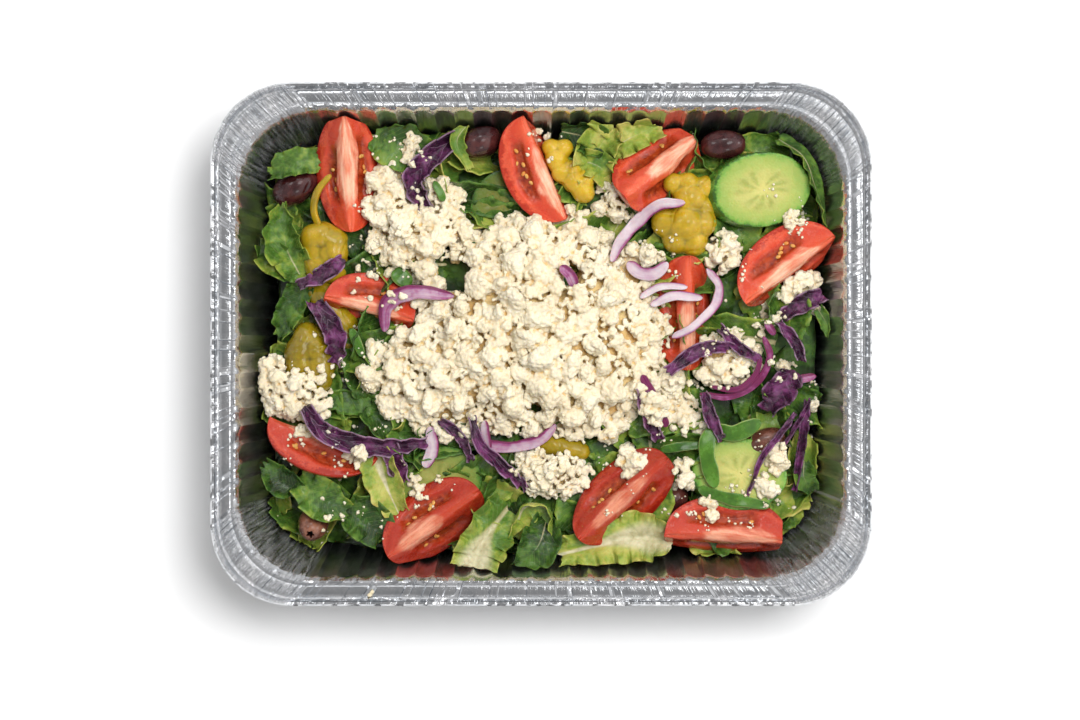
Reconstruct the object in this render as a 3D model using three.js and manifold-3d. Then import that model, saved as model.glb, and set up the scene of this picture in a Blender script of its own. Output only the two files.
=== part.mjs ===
// A greek salad in its foil tray: romaine under tomato, cucumber, peppers, olives,
// onion, red cabbage and crumbled cheese. Millimetres, +Z up, X along the tray.
// The origin is the middle of the tray's underside.
import * as THREE from 'three';
import { mergeVertices } from 'three/addons/utils/BufferGeometryUtils.js';
import Module from 'manifold-3d';

const wasm = await Module();
wasm.setup();

// ---- Driving dimensions -------------------------------------------------------------------

const TRAY_LENGTH = 324;
const TRAY_WIDTH = 256.5;
const TRAY_HEIGHT = 64;
const FOIL = 0.6; // thickness of the tray's wall and floor
const RIM_CORNER = 40; // corner radius of the rim's outer edge
const OPENING_INSET = 13; // from the rim's outer edge to the top of the wall
const OPENING_CORNER = 38;
const BASE_INSET = 31; // from the rim's outer edge to the foot of the wall
const BASE_CORNER = 26;
const FLUTE_DEPTH = 0.9; // a flute runs this far in and out of the wall's middle
const LONG_FLUTES = 23;
const SHORT_FLUTES = 17;
const CORNER_FLUTES = 4;

const GAP = 0.4; // clearance between pieces that rest on each other
const WALL_CLEARANCE = FLUTE_DEPTH + GAP;

const HEAP_LEVEL = 40; // middle of the romaine's top
const HEAP_EDGE_FALL = 9; // how much lower it lies beside the wall
const HEAP_RUFFLE = 1.5; // unevenness of the leaves' top

// ---- Lofting and cutting ------------------------------------------------------------------

const degrees = THREE.MathUtils.degToRad;
const lerp = THREE.MathUtils.lerp;

// A repeatable number from -1 to 1 for a pair of numbers.
function rough(a, b) {
  const wave = Math.sin(a * 12.9898 + b * 78.233) * 43758.5453;
  return 2 * (wave - Math.floor(wave)) - 1;
}

// A closed skin from pole to pole. place(column, station) puts each point; columns run
// counter-clockwise round the axis, seen from its far end.
function loft(columns, stations, place) {
  const last = stations - 1;
  const profile = Array.from({ length: stations }, (_, k) => (
    new THREE.Vector2(k === 0 || k === last ? 0 : 1, k)
  ));
  const geometry = new THREE.LatheGeometry(profile, columns);
  const { position, uv } = geometry.attributes;
  for (let i = 0; i < position.count; i++) {
    const column = Math.round(uv.getX(i) * columns) % columns;
    const station = Math.round(uv.getY(i) * last);
    position.setXYZ(i, ...place(column, station));
  }
  return geometry;
}

// The solid of a closed geometry, without the collapsed triangles at its poles.
function solidOf(geometry) {
  geometry.deleteAttribute('normal');
  geometry.deleteAttribute('uv');
  const merged = mergeVertices(geometry, 1e-4);
  const corners = merged.index.array;
  const kept = [];
  for (let i = 0; i < corners.length; i += 3) {
    const [a, b, c] = corners.slice(i, i + 3);
    if (a !== b && b !== c && c !== a) kept.push(a, b, c);
  }
  return new wasm.Manifold(new wasm.Mesh({
    numProp: 3,
    vertProperties: merged.attributes.position.array,
    triVerts: new Uint32Array(kept),
  }));
}

// A solid's place: its middle, then yaw about Z, the rise of its +X end, roll about X.
function placed(geometry, { at, yaw = 0, rise = 0, roll = 0 }) {
  const turn = new THREE.Euler(degrees(roll), degrees(-rise), degrees(yaw), 'ZYX');
  const matrix = new THREE.Matrix4().makeRotationFromEuler(turn).setPosition(...at);
  return solidOf(geometry.applyMatrix4(matrix));
}

// The largest body of a solid, so that a cut leaves no crumbs.
function mainBody(solid) {
  const bodies = solid.decompose();
  return bodies.reduce((most, body) => (body.volume() > most.volume() ? body : most));
}

function geometryOf(solid) {
  const mesh = solid.getMesh();
  const geometry = new THREE.BufferGeometry();
  geometry.setAttribute('position', new THREE.BufferAttribute(mesh.vertProperties, 3));
  geometry.setIndex(new THREE.BufferAttribute(mesh.triVerts, 1));
  geometry.computeVertexNormals();
  return geometry;
}

// ---- The tray -----------------------------------------------------------------------------

// The columns of a rounded rectangle, from the foot of its right side and round it.
function outlineColumns(shortSteps, longSteps, cornerSteps) {
  const columns = [];
  for (let side = 0; side < 4; side++) {
    const steps = side % 2 ? longSteps : shortSteps;
    for (let k = 0; k < steps; k++) columns.push({ side, along: k / steps, turn: 0 });
    for (let k = 0; k < cornerSteps; k++) columns.push({ side, along: 1, turn: k / cornerSteps });
  }
  return columns;
}

// A column's point on the rounded rectangle that lies inset from the rim's outer edge.
function outlinePoint({ side, along, turn }, inset, radius) {
  const x = TRAY_LENGTH / 2 - inset - radius;
  const y = TRAY_WIDTH / 2 - inset - radius;
  const centres = [[x, y], [-x, y], [-x, -y], [x, -y]];
  const from = centres[(side + 3) % 4];
  const to = centres[side];
  const angle = (side + turn) * Math.PI / 2;
  return [
    lerp(from[0], to[0], along) + radius * Math.cos(angle),
    lerp(from[1], to[1], along) + radius * Math.sin(angle),
  ];
}

// How far in the wall's inner face is at a height, and its corner radius there.
function wallAt(z) {
  const share = z / TRAY_HEIGHT;
  return {
    inset: lerp(BASE_INSET, OPENING_INSET, share),
    radius: lerp(BASE_CORNER, OPENING_CORNER, share),
  };
}

const FILLET = 4; // height of the round between floor and wall
const FILLET_RUN = 2.4; // how far the round reaches in under the wall's slope
const FLANGE = 63.4; // height of the flange's top
const RIM_SEAT = FLANGE - FOIL; // the walls end here, under the flange
const WALL_FOOT = wallAt(FILLET);
const TRAY_STATIONS = [
  { centre: true, z: 0 },
  { inset: WALL_FOOT.inset + FILLET_RUN, z: 0, radius: 25 }, // foot
  { inset: WALL_FOOT.inset - FOIL, z: FILLET, radius: WALL_FOOT.radius, flute: FLUTE_DEPTH },
  { inset: OPENING_INSET - FOIL, z: RIM_SEAT, radius: OPENING_CORNER, flute: 0.3 },
  { inset: OPENING_INSET, z: RIM_SEAT, radius: OPENING_CORNER, flute: 0.3 },
  { inset: WALL_FOOT.inset, z: FILLET, radius: WALL_FOOT.radius, flute: FLUTE_DEPTH },
  { inset: WALL_FOOT.inset + FILLET_RUN + FOIL, z: FOIL, radius: 24.4 }, // edge of the floor
  { centre: true, z: FOIL },
];
const RIM_STATIONS = [
  { inset: OPENING_INSET + 0.3, z: RIM_SEAT, radius: OPENING_CORNER },
  { inset: 3, z: RIM_SEAT, radius: 38.5 },
  { inset: 1.6, z: FLANGE - 2.4, radius: 39 }, // under the rolled bead
  { inset: 0, z: FLANGE - 1, radius: RIM_CORNER },
  { inset: 1.4, z: TRAY_HEIGHT, radius: 39 }, // crest of the bead
  { inset: OPENING_INSET + 0.3, z: FLANGE, radius: OPENING_CORNER },
];

// A skin through stations that each follow the tray's outline or sit on its middle.
function outlineSolid(columns, stations) {
  return solidOf(loft(columns.length, stations.length, (column, station) => {
    const { centre, inset, z, radius, flute = 0 } = stations[station];
    if (centre) return [0, 0, z];
    const swing = column % 2 ? -flute : flute; // cusps point into the tray
    return [...outlinePoint(columns[column], inset + swing, radius), z];
  }));
}

// The tray's floor and walls.
function foilTray() {
  const columns = outlineColumns(2 * SHORT_FLUTES, 2 * LONG_FLUTES, 2 * CORNER_FLUTES);
  return outlineSolid(columns, TRAY_STATIONS);
}

// The flange and its rolled bead: a ring that closes on its first station.
function foilRim() {
  return outlineSolid(outlineColumns(1, 1, 8), [...RIM_STATIONS, RIM_STATIONS[0]]);
}

// The room inside the tray, clear of its flutes and floor and open far above its rim.
const ROOM_FLOOR = FOIL + GAP;
const ROOM_TOP = 100;

// The room's outline at a height, drawn in over the round at the floor.
function roomPoint(column, z) {
  const { inset, radius } = wallAt(z);
  const round = FILLET_RUN * Math.max(0, 1 - (z - ROOM_FLOOR) / FILLET);
  return [...outlinePoint(column, inset + WALL_CLEARANCE + round, radius), z];
}

function trayRoom() {
  const columns = outlineColumns(1, 1, 6);
  const levels = [ROOM_FLOOR, ROOM_FLOOR, ROOM_FLOOR + FILLET, ROOM_TOP, ROOM_TOP];
  return solidOf(loft(columns.length, levels.length, (column, station) => {
    const z = levels[station];
    if (station === 0 || station === levels.length - 1) return [0, 0, z];
    return roomPoint(columns[column], z);
  }));
}

// ---- The romaine heap ---------------------------------------------------------------------

// Hollows in the leaves beside the wall: middle, reach and depth. A mound's depth is negative.
const HOLLOWS = [
  { at: [-136, 14], reach: 30, depth: 15 },
  { at: [-126, 88], reach: 30, depth: 10 },
  { at: [-128, -88], reach: 34, depth: 13 },
  { at: [134, -74], reach: 32, depth: 12 },
  { at: [136, 76], reach: 24, depth: 7 },
  { at: [132, 8], reach: 36, depth: -7 },
  { at: [-2, -104], reach: 22, depth: 8 },
  { at: [-78, 104], reach: 20, depth: 6 },
];

function heapTop(x, y, edge) {
  let level = HEAP_LEVEL - HEAP_EDGE_FALL * edge ** 3;
  for (const { at, reach, depth } of HOLLOWS) {
    const away = Math.hypot(x - at[0], y - at[1]) / reach;
    level -= depth * Math.exp(-(away ** 2));
  }
  return level + HEAP_RUFFLE * (Math.sin(x / 9) * Math.cos(y / 7) + 0.6 * rough(x, y));
}

// How far each ring of the heap's top reaches out, from the wall to near its middle.
const HEAP_RINGS = [1, 0.88, 0.68, 0.38];
const HEAP_SIDE = [ROOM_FLOOR, ROOM_FLOOR, ROOM_FLOOR + FILLET]; // its pole, foot and side

function romaineHeap() {
  const columns = outlineColumns(4, 6, 2);
  const stations = HEAP_SIDE.length + HEAP_RINGS.length + 1;
  return solidOf(loft(columns.length, stations, (column, station) => {
    if (station === 0) return [0, 0, ROOM_FLOOR];
    if (station < HEAP_SIDE.length) return roomPoint(columns[column], HEAP_SIDE[station]);
    const reach = HEAP_RINGS[station - HEAP_SIDE.length] ?? 0;
    const [edgeX, edgeY] = roomPoint(columns[column], HEAP_LEVEL);
    const edgeTop = heapTop(edgeX, edgeY, 1);
    const [x, y] = roomPoint(columns[column], edgeTop).map((value) => value * reach);
    return [x, y, reach === 1 ? edgeTop : heapTop(x, y, reach)];
  }));
}

// ---- Cut vegetables -----------------------------------------------------------------------

// A quarter of a plum tomato, its ridge up and its long axis along X.
function tomatoWedge({ length, radius, ...place }, grow) {
  const half = length / 2 + grow;
  const round = radius + grow;
  const ridge = radius / 2 + grow * Math.SQRT2;
  const around = 12;
  const along = 7;
  const fruit = loft(around, along, (column, station) => {
    const sweep = lerp(-Math.PI / 2, Math.PI / 2, station / (along - 1));
    const angle = (column + 0.5) / around * 2 * Math.PI;
    const reach = round * Math.cos(sweep) ** 0.85;
    const lift = radius / 2; // the fruit's axis is above the wedge's middle
    return [half * Math.sin(sweep), reach * Math.cos(angle), reach * Math.sin(angle) + lift];
  });
  const slab = 3 * radius;
  const section = new THREE.Shape([
    new THREE.Vector2(0, ridge),
    new THREE.Vector2(-slab, ridge - slab),
    new THREE.Vector2(slab, ridge - slab),
  ]);
  const wedge = new THREE.ExtrudeGeometry(section, { depth: 4 * half, bevelEnabled: false });
  wedge.translate(0, 0, -2 * half);
  wedge.applyMatrix4(new THREE.Matrix4().set(0, 0, 1, 0, 1, 0, 0, 0, 0, 1, 0, 0, 0, 0, 0, 1));
  return placed(fruit, place).intersect(placed(wedge, place));
}

// A slice of cucumber, cut on a bias so that it is longer than it is wide.
function cucumberSlice({ length, width, thick, bias, ...place }, grow) {
  const slice = new THREE.CylinderGeometry(0.5, 0.5, 1, 16);
  slice.rotateX(Math.PI / 2);
  slice.scale(length + 2 * grow, width + 2 * grow, thick + 2 * grow);
  slice.applyMatrix4(new THREE.Matrix4().makeShear(0, 0, 0, 0, bias, 0));
  return placed(slice, place);
}

// A pitted olive with its pit hole in its +X end.
function olive({ length, width, ...place }, grow) {
  const around = 8;
  const along = 7;
  const hole = 2.2; // half the hole's width, and its depth
  return placed(loft(around, along, (column, station) => {
    const sweep = lerp(-Math.PI / 2, Math.PI / 2, Math.min(station / (along - 2), 1));
    const angle = column / around * 2 * Math.PI;
    const x = (length / 2 + grow) * Math.sin(sweep);
    const reach = (width / 2 + grow) * Math.cos(sweep);
    if (station === 0) return [x, 0, 0];
    if (station === along - 1) return [x - hole, 0, 0]; // bottom of the hole
    if (station === along - 2) return [x, hole * Math.cos(angle), hole * Math.sin(angle)];
    return [x, reach * Math.cos(angle), reach * Math.sin(angle)];
  }), place);
}

// A pickled pepper: a blunt lobed pod that bends to one side.
function pickledPepper({ length, width, bend = 0, ...place }, grow) {
  const around = 8;
  const along = 7;
  return placed(loft(around, along, (column, station) => {
    const t = station / (along - 1);
    const angle = column / around * 2 * Math.PI;
    const lobes = 1 + 0.1 * Math.cos(3 * angle) + 0.1 * Math.sin(7 * t);
    const pole = station === 0 || station === along - 1;
    const reach = pole ? 0 : (width / 2) * lobes * Math.sin(Math.PI * t) ** 0.5 + grow;
    const x = (t - 0.5) * (length + 2 * grow);
    const side = bend * (1 - (2 * t - 1) ** 2);
    return [x, side + reach * Math.cos(angle), reach * Math.sin(angle)];
  }), place);
}

// A strip or a slice that follows a path: an onion arc, a cabbage shred, a pepper strip.
// lean tips its width out of the level.
function strip({ path, width, thick, sides = 4, steps = 5, lean = 0 }, grow) {
  const curve = new THREE.CatmullRomCurve3(path.map((point) => new THREE.Vector3(...point)));
  const up = new THREE.Vector3(0, 0, 1);
  const tilt = degrees(lean);
  return solidOf(loft(sides, steps + 2, (column, station) => {
    const t = THREE.MathUtils.clamp((station - 1) / (steps - 1), 0, 1);
    const point = curve.getPointAt(t);
    const tangent = curve.getTangentAt(t);
    const side = up.clone().cross(tangent).normalize();
    const top = tangent.clone().cross(side);
    const pole = station === 0 || station === steps + 1;
    const angle = (column + 0.5) / sides * 2 * Math.PI;
    const taper = 1 - 0.35 * Math.abs(2 * t - 1) ** 3;
    const across = pole ? 0 : (width * Math.SQRT1_2 * taper + grow * Math.SQRT2) * Math.cos(angle);
    const over = pole ? 0 : (thick * Math.SQRT1_2 + grow * Math.SQRT2) * Math.sin(angle);
    point.addScaledVector(tangent, (2 * t - 1) * grow);
    point.addScaledVector(side, across * Math.cos(tilt) - over * Math.sin(tilt));
    point.addScaledVector(top, across * Math.sin(tilt) + over * Math.cos(tilt));
    return [point.x, point.y, point.z];
  }));
}

// ---- Crumbled cheese ----------------------------------------------------------------------

// A low pile with a ragged outline: radii are its reach at even angles from +X.
function cheesePile({ at, radii, height, columns = 8, rings = [0.8, 0.45] }, grow) {
  const [x, y, z] = at;
  const edges = [0.9, 1, ...rings];
  return solidOf(loft(columns, edges.length + 2, (column, station) => {
    const reach = edges[station - 1];
    if (station === 0) return [x, y, z - grow];
    if (reach === undefined) return [x, y, z + height + grow];
    const turn = column / columns * radii.length;
    const near = radii[Math.floor(turn) % radii.length];
    const next = radii[Math.ceil(turn) % radii.length];
    const edge = lerp(near, next, turn % 1) * reach * (1 + 0.06 * rough(column, station)) + grow;
    const angle = column / columns * 2 * Math.PI;
    const dome = height * (1 - 0.8 * reach ** 1.6) * (1 + 0.12 * rough(station, column + x));
    const levels = [-grow, dome]; // the foot, then the widest ring, which only grows outwards
    const level = levels[station - 1] ?? dome + grow;
    return [x + edge * Math.cos(angle), y + edge * Math.sin(angle), z + level];
  }));
}

// ---- What lies where ----------------------------------------------------------------------

const TOMATO_WEDGES = [
  { at: [-96, 85.7, 43], yaw: 93, rise: 8, roll: 3, length: 58, radius: 23 },
  { at: [-4, 86.7, 44], yaw: 113, rise: 12, roll: 30, length: 56, radius: 22 },
  { at: [56.7, 86.7, 44], yaw: 40, rise: -25, roll: 5, length: 54, radius: 22 },
  { at: [120.7, 40.8, 45], yaw: 37, rise: 5, roll: 25, length: 55, radius: 22 },
  { at: [71.3, 16.1, 40], yaw: 90, rise: 4, roll: 10, length: 57, radius: 22 },
  { at: [-84.2, 20.6, 42], yaw: -15, rise: 0, roll: 20, length: 46, radius: 20 },
  { at: [-110.2, -53.7, 40], yaw: -18, rise: 0, roll: -65, length: 58, radius: 21 },
  { at: [-53.7, -87.5, 43], yaw: 36, rise: 0, roll: 8, length: 56, radius: 22 },
  { at: [41.2, -75.4, 45], yaw: 43, rise: 5, roll: 0, length: 60, radius: 23 },
  { at: [91.8, -91.6, 41], yaw: -3, rise: 0, roll: 30, length: 62, radius: 22 },
];

const CUCUMBER_SLICES = [
  { at: [107.2, 76.5, 47], yaw: 8, rise: -4, roll: 6, length: 49, width: 37, thick: 7, bias: 0.6 },
  { at: [97.6, -64.6, 42], yaw: -4, rise: 3, roll: -4, length: 47, width: 36, thick: 7, bias: 0.4 },
  { at: [-50.5, -68.8, 38], yaw: 20, rise: 4, roll: 5, length: 42, width: 36, thick: 6, bias: 0.2 },
  { at: [-20.5, 69.6, 38], yaw: 60, rise: 0, roll: 8, length: 40, width: 34, thick: 7, bias: 0.3 },
  { at: [-87.7, 88.4, 31], yaw: 10, rise: 0, roll: 0, length: 34, width: 32, thick: 6, bias: 0 },
];

const OLIVES = [
  { at: [-122.9, 78.6, 37], yaw: 35, rise: 5, length: 25, width: 17 },
  { at: [-29.9, 100.7, 42], yaw: 15, rise: 5, length: 21, width: 16.5 },
  { at: [90.7, 99.3, 42], yaw: 3, rise: 5, length: 23, width: 15 },
  { at: [-114.6, -88.8, 28], yaw: -100, rise: 62, length: 21, width: 14 },
  { at: [111.9, -48.8, 40], yaw: 20, rise: 0, length: 21, width: 14 },
  { at: [65.7, -78, 33], yaw: 60, rise: 0, length: 19, width: 15 },
  { at: [54, -92, 31], yaw: 15, rise: 0, length: 20, width: 14.5 },
];

const PICKLED_PEPPERS = [
  { at: [12.9, 87.5, 45], yaw: -50, rise: 0, length: 34, width: 18, bend: 3 },
  { at: [70.5, 63.7, 45], yaw: -86, rise: 6, length: 38, width: 24, bend: 2 },
  { at: [-108.6, 47, 42], yaw: 88, rise: 5, length: 27, width: 18 },
  { at: [-117.9, -7.8, 38], yaw: 85, rise: 8, length: 40, width: 20 },
  { at: [-104.2, 15.2, 33], yaw: -55, rise: 0, length: 40, width: 15, bend: 2 },
  { at: [10, -50.8, 38], yaw: -10, rise: 0, length: 26, width: 11, bend: -2 },
];

const PEPPER_RINGS = [
  { path: [[-103.7, 83.9, 50], [-110.6, 75.5, 46], [-111.6, 65.6, 44], [-108.6, 57.7, 45]],
    width: 4, thick: 3 },
];

const RED_ONIONS = [
  { path: [[71.1, 69.7, 57], [58.8, 68.7, 55], [48.9, 61.3, 51], [40, 51.4, 49], [34.6, 40.6, 50]],
    width: 6, thick: 3.5 },
  { path: [[81.8, 37.5, 53], [88.2, 29.1, 50], [85.7, 19.3, 51], [75.9, 9.4, 54], [64.5, 3, 54]],
    width: 5, thick: 4 },
  { path: [[48.8, 22.8, 52], [58.7, 28.2, 53], [72.5, 28.2, 54]], width: 4, thick: 3 },
  { path: [[53.8, 19.3, 53], [66.1, 23.7, 54], [79.9, 22.8, 53]], width: 5, thick: 3 },
  { path: [[-77.7, 6, 49], [-75.7, 19.9, 53], [-63.8, 25.3, 53], [-42.6, 23.8, 51]],
    width: 6.5, thick: 3.5 },
  { path: [[-55.1, -40.6, 46], [-54.1, -52.5, 45], [-58, -61.4, 44]], width: 7, thick: 3 },
  { path: [[-28.2, -38.6, 46], [-26.8, -49, 44], [-14.4, -51, 43.5], [-0.5, -47.5, 45],
    [7.4, -39.6, 47]], width: 6, thick: 4 },
  { path: [[78.6, -24.6, 44.5], [94.4, -26.1, 45], [108.2, -17.7, 46.5], [113.2, -5.4, 46],
    [110.2, 4, 45]], width: 6, thick: 4 },
  { path: [[123.2, -18.7, 43], [137.1, -15.7, 42]], width: 4.5, thick: 3, steps: 3 },
];

const RED_CABBAGE = [
  { path: [[-45.5, 100.1, 40], [-55.9, 91.2, 42], [-61.9, 80.3, 44], [-54.9, 67.4, 47]],
    width: 10, thick: 4, lean: 20 },
  { path: [[-111.5, 18.9, 45], [-105.1, 11, 45], [-100.6, 0.1, 44], [-101.6, -8.8, 43]],
    width: 7, thick: 2.5, lean: 25 },
  { path: [[-99.8, 41.6, 49], [-106.7, 34.2, 47], [-119.1, 28.7, 44]], width: 4, thick: 4 },
  { path: [[-116.3, -34.1, 50], [-108.4, -43.5, 52], [-93.5, -48.9, 52], [-74.7, -50.4, 48],
    [-58.4, -48.9, 47]], width: 4.5, thick: 4 },
  { path: [[139, 25.3, 44], [131.2, 20.9, 44], [120.8, 13, 44]], width: 5, thick: 3 },
  { path: [[132.1, -27.7, 42], [129.5, -47.5, 37], [126.5, -73.4, 31]], width: 5, thick: 3 },
  { path: [[48.9, -21.7, 50], [53.9, -37.5, 50], [61.3, -49.3, 52]], width: 6, thick: 2.5 },
  { path: [[123.4, -13.8, 43], [119.5, -22.7, 42], [114.5, -31.6, 41]],
    width: 11, thick: 3, lean: 15 },
];

const GREEN_PEPPERS = [
  { path: [[85.1, -39.5, 47], [82.2, -52.4, 49], [86.6, -71.2, 49]], width: 9, thick: 4 },
  { path: [[77.9, -71.3, 46], [94.8, -76.8, 49], [113.6, -80.3, 48]], width: 6, thick: 4 },
  { path: [[-73, 37, 46], [-69, 33, 47], [-64.5, 29.5, 46]], width: 8, thick: 4, steps: 3 },
];

const CHEESE_PILES = [
  { at: [-10.5, 9.6, 36], height: 31, columns: 22, rings: [0.8, 0.5],
    radii: [86, 74, 66, 60, 56, 50, 52, 58, 62, 86, 78, 56, 52, 62, 72, 80] },
  { at: [-62.7, 55.9, 38], height: 16, columns: 14,
    radii: [34, 30, 30, 44, 22, 24, 34, 28] },
  { at: [-125.2, -20.3, 36], height: 15, radii: [23, 22, 16, 20, 20, 19, 18, 25] },
  { at: [40.4, 71.9, 40], height: 13, radii: [12, 13, 13, 14, 12, 12] },
  { at: [93.1, -8.8, 38], height: 13, radii: [19, 17, 18, 17, 19, 17, 14, 20] },
  { at: [128, 27, 38], height: 12, radii: [12, 14, 18, 12, 10, 14] },
  { at: [4.5, -63.7, 38], height: 12, radii: [25, 19, 12, 17, 23, 15, 14, 17] },
  { at: [90.2, 47, 38], height: 13, radii: [10, 12, 11, 10, 12, 11] },
];

const FINISHES = {
  foil: { color: 0xb4b8bc, roughness: 0.25, metalness: 1 },
  romaine: { color: 0x4f7a2a, roughness: 0.5, metalness: 0 },
  tomato: { color: 0xc23a22, roughness: 0.25, metalness: 0 },
  cucumber: { color: 0xa8bf62, roughness: 0.35, metalness: 0 },
  olive: { color: 0x4a2022, roughness: 0.2, metalness: 0 },
  pickledPepper: { color: 0xb99b1f, roughness: 0.3, metalness: 0 },
  redOnion: { color: 0xb98aa8, roughness: 0.35, metalness: 0 },
  redCabbage: { color: 0x4c2245, roughness: 0.4, metalness: 0 },
  greenPepper: { color: 0x5f8c22, roughness: 0.3, metalness: 0 },
  cheese: { color: 0xf3ead2, roughness: 0.75, metalness: 0 },
};

// Each kind from the top of the pile down: a piece makes way for those before it.
const LAYERS = [
  { name: 'red_onion', rows: RED_ONIONS, shape: strip, finish: 'redOnion' },
  { name: 'red_cabbage', rows: RED_CABBAGE, shape: strip, finish: 'redCabbage' },
  { name: 'green_pepper', rows: GREEN_PEPPERS, shape: strip, finish: 'greenPepper' },
  { name: 'pepper_ring', rows: PEPPER_RINGS, shape: strip, finish: 'pickledPepper' },
  { name: 'tomato_wedge', rows: TOMATO_WEDGES, shape: tomatoWedge, finish: 'tomato' },
  { name: 'pickled_pepper', rows: PICKLED_PEPPERS, shape: pickledPepper, finish: 'pickledPepper' },
  { name: 'olive', rows: OLIVES, shape: olive, finish: 'olive' },
  { name: 'cucumber_slice', rows: CUCUMBER_SLICES, shape: cucumberSlice, finish: 'cucumber' },
  { name: 'crumbled_cheese', rows: CHEESE_PILES, shape: cheesePile, finish: 'cheese' },
  { name: 'romaine_heap', rows: [{}], shape: romaineHeap, finish: 'romaine' },
];

// ---- Assembly -----------------------------------------------------------------------------

const group = new THREE.Group();

function addPiece(name, solid, finish) {
  const mesh = new THREE.Mesh(geometryOf(solid), new THREE.MeshStandardMaterial(FINISHES[finish]));
  mesh.name = name;
  group.add(mesh);
}

function addContents() {
  const room = trayRoom();
  const before = [];
  for (const { name, rows, shape, finish } of LAYERS) {
    rows.forEach((row, index) => {
      let solid = shape(row, 0);
      if (!solid.subtract(room).isEmpty()) solid = solid.intersect(room);
      for (const other of before) {
        if (!solid.intersect(other).isEmpty()) solid = solid.subtract(other);
      }
      before.push(shape(row, GAP));
      addPiece(rows.length > 1 ? `${name}_${index + 1}` : name, mainBody(solid), finish);
    });
  }
}

addPiece('foil_tray', foilTray(), 'foil');
addPiece('foil_rim', foilRim(), 'foil');
addContents();

export default group;
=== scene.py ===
"""A greek salad in a fluted foil tray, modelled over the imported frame.

A mesh is made in millimetres, with X along the tray and Z up, and is brought to metres
when it is finished. Every piece rides on the one body, "root".
"""

import logging
import math
import random
from dataclasses import dataclass
from enum import Enum
from functools import lru_cache
from typing import Callable, ClassVar, Iterable, Optional, Sequence, Union

import bmesh
import bpy
from bmesh.types import BMEdge, BMesh, BMLayerItem, BMVert
from bpy.types import ID, Material, Mesh, Node, NodeSocket, NodeTree, Object
from mathutils import Euler, Matrix, Vector, noise
from mathutils.bvhtree import BVHTree


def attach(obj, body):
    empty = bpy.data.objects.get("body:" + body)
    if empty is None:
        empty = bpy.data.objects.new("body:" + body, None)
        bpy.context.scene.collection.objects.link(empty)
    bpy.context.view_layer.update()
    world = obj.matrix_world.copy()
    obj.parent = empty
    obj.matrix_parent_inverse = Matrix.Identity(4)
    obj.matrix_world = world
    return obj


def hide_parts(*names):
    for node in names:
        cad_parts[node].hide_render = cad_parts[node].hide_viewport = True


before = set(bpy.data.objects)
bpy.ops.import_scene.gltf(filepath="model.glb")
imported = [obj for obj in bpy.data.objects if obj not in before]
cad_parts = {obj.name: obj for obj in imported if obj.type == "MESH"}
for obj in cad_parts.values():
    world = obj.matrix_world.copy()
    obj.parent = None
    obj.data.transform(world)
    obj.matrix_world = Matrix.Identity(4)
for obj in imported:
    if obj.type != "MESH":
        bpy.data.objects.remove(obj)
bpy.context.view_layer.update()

LOG = logging.getLogger("salad")
MM = 0.001
SKY = 120.0  # a height over everything, in millimetres
UP, DOWN = Vector((0, 0, 1)), Vector((0, 0, -1))
Point = tuple[float, float, float]
Stops = tuple[tuple[float, str], ...]  # a colour ramp: places and sRGB codes
Input = Union[float, Sequence[float], NodeSocket]


# ---- Shaping ------------------------------------------------------------------------------


def smooth_step(low: float, high: float, value: float) -> float:
    """A soft step from 0 at low to 1 at high."""
    share = min(max((value - low) / (high - low), 0.0), 1.0)
    return share * share * (3.0 - 2.0 * share)


def mix(first: float, second: float, share: float) -> float:
    """The number that lies a share of the way from first to second."""
    return first + (second - first) * share


def ripple(x: float, y: float, z: float) -> float:
    """Even noise from -1 to 1 at a place, with features about 1 wide."""
    return noise.noise(Vector((x, y, z)))


def wobble(spot: Vector, size: float, seed: float = 0.0) -> float:
    """Even noise from -1 to 1 whose features are about a size wide."""
    return noise.noise(spot / size + Vector((seed * 7.3, seed * 3.1, seed * 5.7)))


def added(name: str, data: ID) -> Object:
    """A new object in the scene, at the origin.

    Args:
        name: Its name.
        data: Its mesh, lamp or camera.

    Returns:
        The object.
    """
    thing = bpy.data.objects.new(name, data)
    bpy.context.scene.collection.objects.link(thing)
    return thing


def mesh_of(shape: BMesh, name: str) -> Mesh:
    """A shape turned into a mesh.

    Args:
        shape: The shape. It is used up.
        name: The mesh's name.

    Returns:
        The mesh.
    """
    mesh = bpy.data.meshes.new(name)
    shape.to_mesh(mesh)
    shape.free()
    return mesh


def layers(shape: BMesh, *names: str) -> list[BMLayerItem]:
    """New named numbers on a shape's points.

    Args:
        shape: The mesh that gets them.
        names: The attribute names that a finish reads.

    Returns:
        One layer for each name.
    """
    for name in names:
        shape.verts.layers.float.new(name)
    return [shape.verts.layers.float[name] for name in names]


def everything(shape: BMesh) -> list:
    """All the points, edges and faces of a shape."""
    return shape.verts[:] + shape.edges[:] + shape.faces[:]


def borders(shape: BMesh) -> list[BMEdge]:
    """The open edges of a shape."""
    return [edge for edge in shape.edges if edge.is_boundary]


def turned(yaw: float, rise: float, roll: float) -> Matrix:
    """The turn that rolls about X, then lifts the +X end, then yaws about Z, in degrees."""
    return Euler((math.radians(roll), math.radians(-rise), math.radians(yaw)), "XYZ").to_matrix()


def place(shape: BMesh, at: Point, yaw: float, rise: float, roll: float) -> None:
    """Set a shape down: roll about X, the rise of its +X end, yaw about Z, then its middle.

    Args:
        shape: The mesh, made about its own middle.
        at: Where its middle goes, in millimetres.
        yaw: Degrees about Z.
        rise: Degrees that the +X end is lifted.
        roll: Degrees about its own X.
    """
    matrix = Matrix.Translation(at) @ turned(yaw, rise, roll).to_4x4()
    bmesh.ops.transform(shape, matrix=matrix, verts=shape.verts)


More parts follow.
